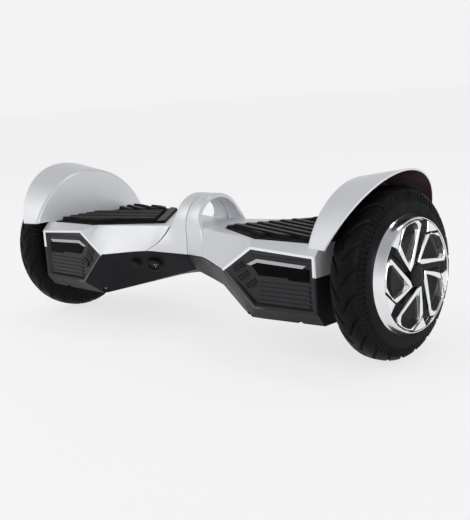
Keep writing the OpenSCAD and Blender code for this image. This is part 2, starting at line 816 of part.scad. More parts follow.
// Ring round the button and the switch behind it
module button_switch() {
    color("#222426") on_panel(button_at) {
        difference() {
            translate([0, 0, -1.45]) cylinder(h = 1.9, r = button_r + 2);
            translate([0, 0, -3]) cylinder(h = 6, r = button_r + slack);
        }
        difference() {
            translate([0, 0, -14]) cylinder(h = 12.6, r = button_r + 1);
            translate([0, 0, -8]) cylinder(h = 10, r = button_r - 2.2);
            translate([0, 0, -2.7]) cylinder(h = 3, r = button_r + slack);
        }
    }
}

// Cable from the battery through the pivot shaft, with a plug at each end
module link_cable() {
    color("#141516") {
        axle_tube(-96, 78, 4);
        axle_tube(-104, -96, 6);
        axle_tube(78, 90, 6);
    }
}

// ---------------------------------------------------------------- assembly

top_cover(-1);  // left_top_cover
bottom_cover(-1);  // left_bottom_cover
handle(-1);  // left_handle
fender(-1);  // left_fender
foot_mat(-1);  // left_foot_mat
foot_sensor_board(-1);  // left_foot_sensor_board
frame(-1);  // left_frame
axle_clamp(-1);  // left_axle_clamp
clamp_screws(-1);  // left_clamp_screws
motor_axle(-1);  // left_motor_axle
stator_core(-1);  // left_stator_core
stator_windings(-1);  // left_stator_windings
magnets(-1);  // left_magnets
rim(-1);  // left_rim
motor_cover(-1);  // left_motor_cover
wheel_bearings(-1);  // left_wheel_bearings
tyre(-1);  // left_tyre
spoke_plate(-1);  // left_spoke_plate
hub_cap(-1);  // left_hub_cap
lamp_frames(-1);  // left_lamp_frames
lamp_lenses(-1);  // left_lamp_lenses
lamp_trims(-1);  // left_lamp_trims
led_boards(-1);  // left_led_boards
cover_screws(-1);  // left_cover_screws
motor_cable(-1);  // left_motor_cable

top_cover(1);  // right_top_cover
bottom_cover(1);  // right_bottom_cover
handle(1);  // right_handle
fender(1);  // right_fender
foot_mat(1);  // right_foot_mat
foot_sensor_board(1);  // right_foot_sensor_board
frame(1);  // right_frame
axle_clamp(1);  // right_axle_clamp
clamp_screws(1);  // right_clamp_screws
motor_axle(1);  // right_motor_axle
stator_core(1);  // right_stator_core
stator_windings(1);  // right_stator_windings
magnets(1);  // right_magnets
rim(1);  // right_rim
motor_cover(1);  // right_motor_cover
wheel_bearings(1);  // right_wheel_bearings
tyre(1);  // right_tyre
spoke_plate(1);  // right_spoke_plate
hub_cap(1);  // right_hub_cap
lamp_frames(1);  // right_lamp_frames
lamp_lenses(1);  // right_lamp_lenses
lamp_trims(1);  // right_lamp_trims
led_boards(1);  // right_led_boards
cover_screws(1);  // right_cover_screws
motor_cable(1);  // right_motor_cable

pivot_shaft();
pivot_bearings();
pivot_circlip();
battery_pack();
battery_bracket();
control_board();
charge_port();
power_button();
button_switch();
link_cable();
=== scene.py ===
import json
import math

import bmesh
import bpy
from mathutils import Matrix, Vector


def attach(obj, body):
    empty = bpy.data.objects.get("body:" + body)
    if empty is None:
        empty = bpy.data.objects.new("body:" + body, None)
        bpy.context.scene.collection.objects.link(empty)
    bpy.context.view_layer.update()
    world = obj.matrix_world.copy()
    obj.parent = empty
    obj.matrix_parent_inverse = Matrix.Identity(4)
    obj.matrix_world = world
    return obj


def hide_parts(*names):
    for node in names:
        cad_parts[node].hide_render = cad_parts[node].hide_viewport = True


# Looks of the self balancing board: skins, mats, mudguards, wheels, lamps and studio

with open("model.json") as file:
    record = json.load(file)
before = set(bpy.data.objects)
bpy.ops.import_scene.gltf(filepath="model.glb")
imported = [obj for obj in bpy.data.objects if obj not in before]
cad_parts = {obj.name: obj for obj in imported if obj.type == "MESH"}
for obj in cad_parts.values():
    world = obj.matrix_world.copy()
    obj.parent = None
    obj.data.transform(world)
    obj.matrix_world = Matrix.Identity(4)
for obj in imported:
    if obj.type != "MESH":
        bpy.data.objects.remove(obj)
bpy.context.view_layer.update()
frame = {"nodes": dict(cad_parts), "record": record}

MM = 0.001
SIDES = (("left", -1), ("right", 1))
AXLE_Z = 105.0
DECK_Z = 150.0
WHEEL_X = 306.0
SEAM_X = 0.6


# ---------------------------------------------------------------- materials

class Shade:
    """A Principled material with shared object coordinates and small helpers for its detail."""

    def __init__(self, name, colour, rough, metallic=0.0, coat=0.0, coat_rough=0.05):
        self.mat = bpy.data.materials.new(name)
        self.mat.use_nodes = True
        self.mat.diffuse_color = (*colour, 1)
        self.nodes, self.links = self.mat.node_tree.nodes, self.mat.node_tree.links
        self.bsdf = next(n for n in self.nodes if n.type == "BSDF_PRINCIPLED")
        self.put("Base Color", (*colour, 1))
        self.put("Roughness", rough)
        self.put("Metallic", metallic)
        self.put("Coat Weight", coat)
        self.put("Coat Roughness", coat_rough)
        self.colour, self.rough = colour, rough
        self.coords = self.nodes.new("ShaderNodeTexCoord").outputs["Object"]
        self.normal = None

    def dim(self, level):
        """Lowers the mirror-like share of a dull dark surface."""
        self.put("Specular IOR Level", level)

    def put(self, socket, value):
        self.bsdf.inputs[socket].default_value = value

    def stretched(self, scale):
        mapping = self.nodes.new("ShaderNodeMapping")
        mapping.inputs["Scale"].default_value = scale
        self.links.new(self.coords, mapping.inputs["Vector"])
        return mapping.outputs["Vector"]

    def noise(self, scale, detail=3.0, vector=None, roughness=0.55):
        node = self.nodes.new("ShaderNodeTexNoise")
        node.inputs["Scale"].default_value = scale
        node.inputs["Detail"].default_value = detail
        node.inputs["Roughness"].default_value = roughness
        self.links.new(vector or self.coords, node.inputs["Vector"])
        return node.outputs["Fac"]

    def cells(self, scale, vector=None):
        node = self.nodes.new("ShaderNodeTexVoronoi")
        node.inputs["Scale"].default_value = scale
        self.links.new(vector or self.coords, node.inputs["Vector"])
        return node.outputs["Distance"]

    def spread(self, value, low, high, start=0.3, stop=0.7):
        node = self.nodes.new("ShaderNodeMapRange")
        node.inputs["From Min"].default_value = start
        node.inputs["From Max"].default_value = stop
        node.inputs["To Min"].default_value = low
        node.inputs["To Max"].default_value = high
        self.links.new(value, node.inputs["Value"])
        return node.outputs["Result"]

    def tint(self, value, low, high):
        """Base colour between two shares of the material's colour, by a value from 0 to 1."""
        ramp = self.nodes.new("ShaderNodeValToRGB")
        for stop, share, place in zip(ramp.color_ramp.elements, (low, high), (0.3, 0.7)):
            stop.color = (*[min(1.0, c * share) for c in self.colour], 1)
            stop.position = place
        self.links.new(value, ramp.inputs["Fac"])
        self.links.new(ramp.outputs["Color"], self.bsdf.inputs["Base Color"])
        return ramp

    def roughen(self, value, swing):
        out = self.spread(value, max(0.02, self.rough - swing), self.rough + swing)
        self.links.new(out, self.bsdf.inputs["Roughness"])

    def bump(self, value, depth, strength=1.0):
        node = self.nodes.new("ShaderNodeBump")
        node.inputs["Strength"].default_value = strength
        node.inputs["Distance"].default_value = depth
        self.links.new(value, node.inputs["Height"])
        if self.normal:
            self.links.new(self.normal, node.inputs["Normal"])
        self.normal = node.outputs["Normal"]
        self.links.new(self.normal, self.bsdf.inputs["Normal"])


def silver_paint():
    s = Shade("silver_paint", (0.70, 0.71, 0.73), 0.40, metallic=0.45, coat=0.12, coat_rough=0.2)
    s.tint(s.noise(5200, 2), 0.94, 1.05)
    s.roughen(s.noise(38, 4), 0.035)
    s.bump(s.noise(1900, 2), 0.00002, 0.35)
    return s.mat


# Lighter copy of the silver paint for the chamfered lips round the lamps: a painted highlight.
def lip_painted_highlight():
    s = Shade("lip_painted_highlight", (0.86, 0.865, 0.875), 0.32, metallic=0.25)
    s.tint(s.noise(5200, 2), 0.95, 1.04)
    s.roughen(s.noise(60, 4), 0.04)
    return s.mat


def black_plastic():
    s = Shade("black_plastic", (0.0085, 0.0078, 0.0100), 0.42)
    s.dim(0.1)
    s.tint(s.noise(24, 4), 0.85, 1.2)
    s.roughen(s.noise(60, 4), 0.06)
    s.bump(s.cells(2100), 0.00005, 0.5)
    return s.mat


def mat_rubber():
    s = Shade("mat_rubber", (0.036, 0.031, 0.029), 0.58)
    s.dim(0.3)
    s.tint(s.noise(45, 5), 0.72, 1.3)
    s.roughen(s.noise(90, 4), 0.08)
    s.bump(s.noise(2600, 3), 0.00008, 0.6)
    return s.mat


# Darker copy of the mat rubber for the mats' grooves and rib sides and for the floors of the lamp vents'
# slots: painted shade.
def painted_shade_dark():
    s = Shade("painted_shade_dark", (0.007, 0.006, 0.0055), 0.7)
    s.dim(0.12)
    s.tint(s.noise(60, 4), 0.7, 1.3)
    s.bump(s.noise(2400, 3), 0.00008, 0.6)
    return s.mat


def tyre_rubber():
    s = Shade("tyre_rubber", (0.0042, 0.0042, 0.0048), 0.5)
    s.dim(0.08)
    s.tint(s.noise(30, 5), 0.75, 1.3)
    s.roughen(s.noise(70, 4), 0.09)
    s.bump(s.noise(1700, 4), 0.00008, 0.5)
    return s.mat


def chrome():
    s = Shade("chrome", (0.88, 0.89, 0.90), 0.09, metallic=1.0)
    s.tint(s.noise(50, 3), 0.96, 1.02)
    s.roughen(s.noise(120, 5), 0.035)
    s.bump(s.noise(300, 3), 0.00001, 0.2)
    return s.mat


def polished_rim():
    s = Shade("polished_rim", (0.84, 0.85, 0.86), 0.13, metallic=1.0)
    s.tint(s.noise(60, 3), 0.94, 1.03)
    s.roughen(s.noise(1, 5, s.stretched((2600, 60, 60))), 0.05)
    s.bump(s.noise(1, 3, s.stretched((3200, 40, 40))), 0.00001, 0.3)
    return s.mat


def wheel_black():
    s = Shade("wheel_black", (0.0055, 0.0055, 0.0062), 0.36)
    s.dim(0.12)
    s.tint(s.noise(40, 4), 0.8, 1.25)
    s.roughen(s.noise(90, 4), 0.08)
    s.bump(s.noise(1500, 3), 0.00004, 0.6)
    return s.mat


def cap_plastic():
    s = Shade("cap_plastic", (0.0075, 0.0075, 0.0082), 0.45)
    s.dim(0.12)
    s.tint(s.noise(70, 4), 0.8, 1.25)
    s.roughen(s.noise(110, 4), 0.07)
    s.bump(s.cells(2600), 0.00004, 0.5)
    return s.mat


def lamp_plastic():
    s = Shade("lamp_plastic", (0.013, 0.0132, 0.0155), 0.36)
    s.dim(0.3)
    s.tint(s.noise(35, 4), 0.88, 1.15)
    s.roughen(s.noise(80, 4), 0.05)
    s.bump(s.cells(2400), 0.00004, 0.4)
    return s.mat


# Lighter grey copy of the lamp plastic for the line round the lamp's lower half: a painted highlight along
# its edge.
def lamp_painted_highlight():
    s = Shade("lamp_painted_highlight", (0.10, 0.105, 0.115), 0.3)
    s.tint(s.noise(60, 4), 0.85, 1.15)
    s.roughen(s.noise(80, 4), 0.05)
    return s.mat


def lamp_gloss():
    s = Shade("lamp_gloss", (0.0012, 0.0012, 0.0016), 0.08)
    s.dim(0.04)
    s.tint(s.noise(90, 3), 0.8, 1.3)
    s.roughen(s.noise(160, 3), 0.02)
    return s.mat


def trim_paint():
    s = Shade("trim_paint", (0.42, 0.43, 0.45), 0.34, metallic=0.6)
    s.tint(s.noise(4200, 2), 0.9, 1.08)
    s.roughen(s.noise(70, 4), 0.05)
    return s.mat


def guard_lining():
    s = Shade("guard_lining", (0.030, 0.0055, 0.008), 0.5)
    s.dim(0.2)
    s.tint(s.noise(26, 4), 0.75, 1.25)
    s.roughen(s.noise(70, 4), 0.08)
    s.bump(s.noise(1500, 3), 0.00006, 0.5)
    return s.mat


def circuit_board():
    s = Shade("circuit_board", (0.03, 0.16, 0.08), 0.4)
    s.tint(s.cells(220), 0.6, 1.3)
    s.roughen(s.noise(300, 3), 0.1)
    return s.mat


def cast_frame():
    s = Shade("cast_frame", (0.48, 0.49, 0.51), 0.5, metallic=0.9)
    s.tint(s.noise(60, 5), 0.85, 1.1)
    s.roughen(s.noise(150, 4), 0.1)
    s.bump(s.noise(900, 4), 0.0002, 0.5)
    return s.mat


def steel():
    s = Shade("steel", (0.52, 0.53, 0.54), 0.3, metallic=1.0)
    s.tint(s.noise(80, 4), 0.85, 1.1)
    s.roughen(s.noise(1, 4, s.stretched((60, 1400, 1400))), 0.08)
    return s.mat


def screw_steel():
    s = Shade("screw_steel", (0.10, 0.10, 0.11), 0.35, metallic=0.9)
    s.tint(s.noise(500, 3), 0.7, 1.3)
    s.roughen(s.noise(900, 3), 0.1)
    return s.mat


def copper_wire():
    s = Shade("copper_wire", (0.55, 0.23, 0.09), 0.3, metallic=0.9)
    s.tint(s.noise(1, 3, s.stretched((150, 2200, 2200))), 0.65, 1.2)
    s.bump(s.noise(1, 2, s.stretched((100, 2600, 2600))), 0.0003, 0.7)
    return s.mat


def battery_wrap():
    s = Shade("battery_wrap", (0.05, 0.16, 0.42), 0.28)
    s.tint(s.noise(25, 4), 0.8, 1.2)
    s.bump(s.noise(140, 3), 0.0004, 0.4)
    return s.mat


def socket_metal():
    s = Shade("socket_metal", (0.42, 0.43, 0.45), 0.22, metallic=1.0)
    s.tint(s.noise(400, 3), 0.8, 1.1)
    s.roughen(s.noise(700, 3), 0.07)
    return s.mat


def cable_sleeve():
    s = Shade("cable_sleeve", (0.02, 0.02, 0.02), 0.5)
    s.tint(s.noise(70, 4), 0.7, 1.3)
    s.roughen(s.noise(300, 3), 0.1)
    return s.mat


def studio_floor():
    s = Shade("studio_floor", (0.22, 0.22, 0.22), 0.9)
    s.put("Emission Color", (1.0, 1.0, 1.0, 1))
    s.put("Emission Strength", 0.72)
    s.tint(s.noise(2, 2), 0.995, 1.005)
    return s.mat


MAKERS = (silver_paint, lip_painted_highlight, black_plastic, mat_rubber, painted_shade_dark, tyre_rubber, chrome, polished_rim,
          wheel_black, cap_plastic, lamp_plastic, lamp_painted_highlight, lamp_gloss, trim_paint, guard_lining,
          circuit_board, cast_frame, steel, screw_steel, copper_wire, battery_wrap, socket_metal,
          cable_sleeve, studio_floor)
LOOK = {maker.__name__: maker() for maker in MAKERS}
NODE_SLOT = {p["node"]: p["material_slot"] for p in frame["record"]["subparts"]}
for node_name, cad_object in frame["nodes"].items():
    cad_object.data.materials.clear()
    cad_object.data.materials.append(LOOK[NODE_SLOT[node_name]])


# ---------------------------------------------------------------- mesh helpers

def body_of(node):
    bodies = frame["record"]["behaviour"]["bodies"]
    return next(b for b, members in bodies.items() if node in members)


def soften(bm, width, angle):
    """Rounds every edge that turns by more than the angle."""
    edges = [e for e in bm.edges if len(e.link_faces) == 2 and e.calc_face_angle(0) > math.radians(angle)]
    bmesh.ops.bevel(bm, geom=edges, offset=width * MM, offset_type="OFFSET", segments=2, profile=0.6,
                    affect="EDGES", clamp_overlap=True)


def shade(obj, angle=38, weighted=True):
    mesh = obj.data
    mesh.polygons.foreach_set("use_smooth", [True] * len(mesh.polygons))
    mesh.set_sharp_from_angle(angle=math.radians(angle))
    if weighted:
        modifier = obj.modifiers.new("even_normals", "WEIGHTED_NORMAL")
        modifier.keep_sharp = True
        modifier.weight = 60


def new_object(name, bm, looks):
    mesh = bpy.data.meshes.new(name)
    bm.to_mesh(mesh)
    bm.free()
    obj = bpy.data.objects.new(name, mesh)
    bpy.context.scene.collection.objects.link(obj)
    for look in looks:
        mesh.materials.append(LOOK[look])
    return obj


def mesh_of(points, faces, side=1, weld=0.0):
    """A bmesh from points in millimetres, mirrored into the left half when side is -1."""
    bm = bmesh.new()
    verts = [bm.verts.new((side * x * MM, y * MM, z * MM)) for x, y, z in points]
    for face in faces:
        try:
            bm.faces.new([verts[i] for i in (reversed(face) if side < 0 else face)])
        except ValueError:
            continue
    if weld:
        bmesh.ops.remove_doubles(bm, verts=bm.verts, dist=weld * MM)
        bmesh.ops.dissolve_degenerate(bm, edges=bm.edges, dist=0.5 * weld * MM)
    bmesh.ops.recalc_face_normals(bm, faces=bm.faces)
    return bm


def settle(obj, body, slot, *nodes):
    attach(obj, body)
    if nodes:
        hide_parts(*nodes)


def refined(node, width, angle, shade_angle=38):
    """Copy of a CAD node with its seams welded, its flat faces joined and its edges rounded."""
    bm = bmesh.new()
    bm.from_mesh(frame["nodes"][node].data)
    bmesh.ops.remove_doubles(bm, verts=bm.verts, dist=0.004 * MM)
    bmesh.ops.dissolve_limit(bm, angle_limit=math.radians(0.7), verts=bm.verts, edges=bm.edges)
    soften(bm, width, angle)
    slot = NODE_SLOT[node]
    obj = new_object(node + "_skin", bm, [slot])
    shade(obj, shade_angle)
    settle(obj, body_of(node), slot, node)


def clipped(polygon, point, normal):
    """The part of a convex polygon on the side of a line that the normal points to."""
    out = []
    for i, a in enumerate(polygon):
        b = polygon[(i + 1) % len(polygon)]
        da = (a[0] - point[0]) * normal[0] + (a[1] - point[1]) * normal[1]
        db = (b[0] - point[0]) * normal[0] + (b[1] - point[1]) * normal[1]
        if da >= 0:
            out.append(a)
        if da * db < 0:
            t = da / (da - db)
            out.append((a[0] + t * (b[0] - a[0]), a[1] + t * (b[1] - a[1])))
    return out


def inset(polygon, m):
    """A counter-clockwise polygon moved inwards by m."""
    n, out = len(polygon), []
    for i in range(n):
        a, b, c = Vector(polygon[i - 1]), Vector(polygon[i]), Vector(polygon[(i + 1) % n])
        d0, d1 = (b - a).normalized(), (c - b).normalized()
        n0, n1 = Vector((-d0.y, d0.x)), Vector((-d1.y, d1.x))
        mid = n0 + n1
        out.append(tuple(b + mid * (m / max(0.3, 1 + n0.dot(n1)))))
    return out


def quads(count, n, closed=True, wrapped=True):
    """Faces between rows of n points: closed joins the last row to the first, wrapped each row's ends."""
    faces = []
    for k in range(count if closed else count - 1):
        m = (k + 1) % count
        for i in range(n if wrapped else n - 1):
            j = (i + 1) % n
            faces.append([k * n + i, k * n + j, m * n + j, m * n + i])
    return faces


def stack(layers):
    """Points and faces of a closed solid through loops of equal length, with a face over each end."""
    n = len(layers[0])
    points = [p for layer in layers for p in layer]
    ends = [list(range(n - 1, -1, -1)), [(len(layers) - 1) * n + i for i in range(n)]]
    return points, ends + quads(len(layers), n, closed=False)


def join_parts(parts):
    points, faces = [], []
    for part_points, part_faces in parts:
        base = len(points)
        points += part_points
        faces += [[i + base for i in face] for face in part_faces]
    return points, faces


def lathe(profile, steps):
    """Closed ring round the axle from a closed profile of (radius, distance from the middle)."""
    points = []
    for k in range(steps):
        a = math.tau * k / steps
        points += [(x, r * math.cos(a), AXLE_Z + r * math.sin(a)) for r, x in profile]
    return points, quads(steps, len(profile))


# ---------------------------------------------------------------- foot mats

MAT_POINTS = [(59, -29), (159, -79), (250, -79), (250, 79), (159, 78), (143, 75.5)]
MAT_BASE_Z = 148.3
MAT_PLATE_TOP = 151.5
MAT_STRIP_TOP = 154.0
MAT_RIB_TOP = 157.0
MAT_STRIP_W = 15.0
MAT_EDGE_W = 7.0
RIB_PITCH = 14.7
RIB_W = 8.0
RIB_ANGLE = math.radians(20)
RIB_FIRST = -6.0
RIB_REACH = 400.0
STRIP_TO_RIB = 15.8
DIVIDE_D = 97.0
GROUP_GAP = 3.0
SECOND_GROUP = 5
SECOND_START = 14.0
MAT_SINK = 0.8


def rounded_tip(polygon, cut, steps=4):
    """The polygon with its first corner rounded off."""
    a, b, c = Vector(polygon[-1]), Vector(polygon[0]), Vector(polygon[1])
    start, stop = b + (a - b).normalized() * cut, b + (c - b).normalized() * cut
    bend = []
    for i in range(steps + 1):
        t = i / steps
        bend.append(tuple(start * (1 - t) ** 2 + b * 2 * t * (1 - t) + stop * t * t))
    return bend + polygon[1:]


def prism_up(polygon, z0, z1, taper):
    """Closed solid with its upper loop pulled in by the taper."""
    low = [(x, y, z0) for x, y in polygon]
    shoulder = [(x, y, z0 + 0.35 * (z1 - z0)) for x, y in inset(polygon, 0.15 * taper)]
    top = [(x, y, z1) for x, y in inset(polygon, taper)]
    return stack([low, shoulder, top])


def area(polygon):
    return 0.5 * sum(a[0] * b[1] - b[0] * a[1] for a, b in zip(polygon, polygon[1:] + polygon[:1]))


def rib_polygons():
    """Plan outlines of the two groups of ribs on a mat."""
    corner = Vector(MAT_POINTS[0])
    strip_run = (Vector(MAT_POINTS[5]) - corner).normalized()
    strip_in = Vector((strip_run.y, -strip_run.x))
    rib_area = inset(MAT_POINTS, MAT_EDGE_W)
    along = Vector((math.cos(RIB_ANGLE), -math.sin(RIB_ANGLE)))
    across = Vector((math.sin(RIB_ANGLE), math.cos(RIB_ANGLE)))
    strip_angle = math.atan2(strip_run.y, strip_run.x)
    ribs = []
    for i in range(int(DIVIDE_D // RIB_PITCH) + 1):
        d = RIB_FIRST + i * RIB_PITCH
        start, low, high = STRIP_TO_RIB + d / math.tan(strip_angle + RIB_ANGLE), d - RIB_W / 2, d + RIB_W / 2
        ribs.append([tuple(corner + along * s + across * w) for s, w in
                     ((start, low), (RIB_REACH, low), (RIB_REACH, high), (start, high))])
    second = Vector((math.cos(RIB_ANGLE), math.sin(RIB_ANGLE)))
    up = Vector((-second.y, second.x))
    for i in range(SECOND_GROUP):
        at = Vector(MAT_POINTS[5]) + Vector((SECOND_START + i * RIB_PITCH / math.sin(RIB_ANGLE), 0))
        polygon = [tuple(at + second * s * RIB_REACH + up * w * RIB_W / 2) for s, w in
                   ((-1, -1), (1, -1), (1, 1), (-1, 1))]
        polygon = clipped(polygon, tuple(corner + across * (DIVIDE_D + GROUP_GAP)), tuple(across))
        polygon = clipped(polygon, tuple(corner + strip_in * (MAT_STRIP_W + 2)), tuple(strip_in))
        ribs.append(polygon)
    out = []
    for polygon in ribs:
        for a, b in zip(rib_area, rib_area[1:]):
            run = (Vector(b) - Vector(a)).normalized()
            polygon = clipped(polygon, a, (-run.y, run.x))
        if len(polygon) > 2 and abs(area(polygon)) > 20:
            out.append(polygon if area(polygon) > 0 else polygon[::-1])
    return out


def strip_polygon():
    """Plan outline of the raised strip along the mat's inner edge."""
    corner = Vector(MAT_POINTS[0])
    run = (Vector(MAT_POINTS[5]) - corner).normalized()
    inward = Vector((run.y, -run.x))
    polygon = clipped(MAT_POINTS, tuple(corner + inward * (MAT_STRIP_W - 1)), tuple(-inward))
    return inset(polygon, 0.5)


def foot_mat(side_name, side):
    """Plate, strip and ribs: their tops have the rubber's look, the grooves and sides a darker copy of it as
    painted shade.
    """
    outline = rounded_tip(MAT_POINTS, 9)
    levels = ((1.2, MAT_BASE_Z), (1.2, DECK_Z - 0.3), (0.0, DECK_Z), (0.0, MAT_PLATE_TOP - 0.6),
              (0.8, MAT_PLATE_TOP))
    parts = [stack([[(x, y, z) for x, y in inset(outline, m)] for m, z in levels])]
    foot_z = MAT_PLATE_TOP - MAT_SINK
    parts.append(prism_up(rounded_tip(strip_polygon(), 8), foot_z, MAT_STRIP_TOP, 1.2))
    parts += [prism_up(rib, foot_z, MAT_RIB_TOP, 1.0) for rib in rib_polygons()]
    bm = mesh_of(*join_parts(parts), side)
    soften(bm, 0.5, 30)
    # Faces of the tops that look up keep the rubber; grooves and sides get the darker look as painted shade.
    raised_z = (MAT_PLATE_TOP + 1) * MM
    for face in bm.faces:
        face.material_index = 0 if face.normal.z > 0.5 and face.calc_center_median().z > raised_z else 1
    obj = new_object(side_name + "_mat_rubber", bm, ["mat_rubber", "painted_shade_dark"])
    shade(obj)
    settle(obj, side_name + "_mat", "mat_rubber", side_name + "_foot_mat")


# ---------------------------------------------------------------- body skins

# Distance from the middle, half depth of the deck edge, then half depth and height of the side's upper edge
SHELL_ROWS = ((0, 44, 45, 112), (34, 44, 60, 115.5), (57, 50, 71, 117.5), (119, 69, 100, 113),
              (145, 76, 98.9, 129.4), (168, 80, 98, 144), (265, 82, 94, 138))
LAMP_TIP_X, LAMP_TOP_X, HALF_L = 119.0, 168.0, 265.0
CREASE = ((149.0, 78.0, DECK_Z), (LAMP_TOP_X, 98.0, 144.0))
LEG_EDGE = ((31, 151), (34, 146), (38, 138), (45, 127), (57, 117.4))
HOOP_SIDE_X, LEG_START_X, LEG_END_X = 31.5, 34.0, 57.0
LEG_GAP = 0.4
SCOOP_W, SCOOP_L = 1.2, 9.0
COVER_T = 2.0
COVER_LIP = 0.15
HOOP_R, HOOP_T, HOOP_W = 45.0, 5.5, 23.0
HOOP_INNER = HOOP_R - HOOP_T - 0.5
SEAM_FOOT_Z, PIVOT_SLOT = 112.0, (14.0, 119.0)
END_FOOT_Z = 113.0
HOOP_Z = DECK_Z - 3.6
LEG_T = 3.0
FLARE_TOP_Z = 176.0


def eased(pairs, x):
    """Smooth monotone curve through the pairs."""
    xs, ys = [p[0] for p in pairs], [p[1] for p in pairs]
    if x <= xs[0]:
        return ys[0]
    if x >= xs[-1]:
        return ys[-1]
    slopes = [(ys[i + 1] - ys[i]) / (xs[i + 1] - xs[i]) for i in range(len(xs) - 1)]

    def tangent(i):
        if i == 0:
            return slopes[0]
        if i == len(slopes):
            return slopes[-1]
        a, b = slopes[i - 1], slopes[i]
        return 0.0 if a * b <= 0 else 2 * a * b / (a + b)

    i = max(k for k in range(len(xs) - 1) if xs[k] <= x)
    h = xs[i + 1] - xs[i]
    t = (x - xs[i]) / h
    return ((1 + 2 * t) * (1 - t) ** 2 * ys[i] + t * (1 - t) ** 2 * h * tangent(i)
            + t * t * (3 - 2 * t) * ys[i + 1] + t * t * (t - 1) * h * tangent(i + 1))


def straight(pairs, x):
    for (x0, y0), (x1, y1) in zip(pairs, pairs[1:]):
        if x <= x1:
            return y0 + (y1 - y0) * max(0.0, (x - x0) / (x1 - x0))
    return pairs[-1][1]


def deck_edge(x):
    return eased([(r[0], r[1]) for r in SHELL_ROWS], x)


def side_edge(x):
    """Half depth and height of the side's upper edge: smooth up to the lamp's tip, then straight."""
    rows = [r for r in SHELL_ROWS if r[0] <= LAMP_TIP_X]
    pick = eased
    if x > LAMP_TIP_X:
        rows, pick = [r for r in SHELL_ROWS if r[0] >= LAMP_TIP_X], straight
    return pick([(r[0], r[2]) for r in rows], x), pick([(r[0], r[3]) for r in rows], x)


def flank(x, z):
    """Half depth of the panel between the deck edge and the side's upper edge."""
    depth, low = side_edge(x)
    t = (DECK_Z - z) / (DECK_Z - low)
    return deck_edge(x) + (depth - deck_edge(x)) * max(0.0, min(1.0, t))


def share(x, start, stop):
    """0 at the start, 1 at the stop, and straight between."""
    return max(0.0, min(1.0, (x - start) / (stop - start)))


def cover_section(x):
    """Half of the top cover's section: depth and height from the middle of the deck to its lower edge."""
    by_hoop = x < LEG_START_X
    edge = deck_edge(x)
    if by_hoop:
        edge = HOOP_INNER + (SHELL_ROWS[1][1] - HOOP_INNER) * share(x, HOOP_SIDE_X, LEG_START_X)
    lip_z = DECK_Z - COVER_LIP
    deck = [(edge * k / 6, DECK_Z) for k in range(6)] + [(edge - 1.2, DECK_Z), (edge, lip_z)]
    if by_hoop:
        knee, end = (edge + 0.01, DECK_Z - 0.3), (edge + 0.02, DECK_Z - 0.5)
        flank_points = [end] * 6
    else:
        depth, stop = side_edge(x)
        if x < LEG_END_X:
            scoop = SCOOP_W * max(0.0, 1 - (x - LEG_START_X) / SCOOP_L)
            stop = min(straight(LEG_EDGE, x - LEG_GAP - scoop), DECK_Z - 0.5)
        end = (flank(x, stop), stop) if x < LAMP_TIP_X else (depth, stop)
        (x_a, y_a, z_a), (x_b, y_b, z_b) = CREASE
        t = share(x, x_a, x_b)
        knee = (edge, DECK_Z - 0.3) if x <= x_a else (y_a + (y_b - y_a) * t, z_a + (z_b - z_a) * t)
        if x >= x_b:
            knee = end
        flank_points = [(knee[0] + (end[0] - knee[0]) * k / 6, knee[1] + (end[1] - knee[1]) * k / 6)
                        for k in range(1, 7)]
    bevel = [(edge + (knee[0] - edge) * k / 4, lip_z + (knee[1] - lip_z) * k / 4) for k in (1, 2, 3)]
    return deck + bevel + [knee] + flank_points


def open_deck(bm, outline):
    """Cuts the deck along a convex outline, in metres, and takes out what is inside it."""
    def inner(point, a, b):
        return ((b[0] - a[0]) * (point.y - a[1]) - (b[1] - a[1]) * (point.x - a[0])) * turn

    def deck_faces():
        low = (DECK_Z - 1) * MM
        return [f for f in bm.faces if abs(f.normal.z) > 0.95 and f.calc_center_median().z > low]

    turn = 1 if area(outline) > 0 else -1
    pairs = list(zip(outline, outline[1:] + outline[:1]))
    for a, b in pairs:
        deck = deck_faces()
        geom = list({v for f in deck for v in f.verts}) + list({e for f in deck for e in f.edges}) + deck
        across = (a[1] - b[1], b[0] - a[0], 0)
        bmesh.ops.bisect_plane(bm, geom=geom, plane_co=(*a, 0), plane_no=across, dist=1e-6)
    gone = [f for f in deck_faces() if all(inner(f.calc_center_median(), a, b) > 0 for a, b in pairs)]
    bmesh.ops.delete(bm, geom=gone, context="FACES")


def facing_up(bm):
    """Turns an open shell so that its upper faces look up."""
    if sum(f.normal.z * f.calc_area() for f in bm.faces) < 0:
        bmesh.ops.reverse_faces(bm, faces=bm.faces)


def between(start, stop, steps):
    return [start + (stop - start) * k / steps for k in range(1, steps + 1)]


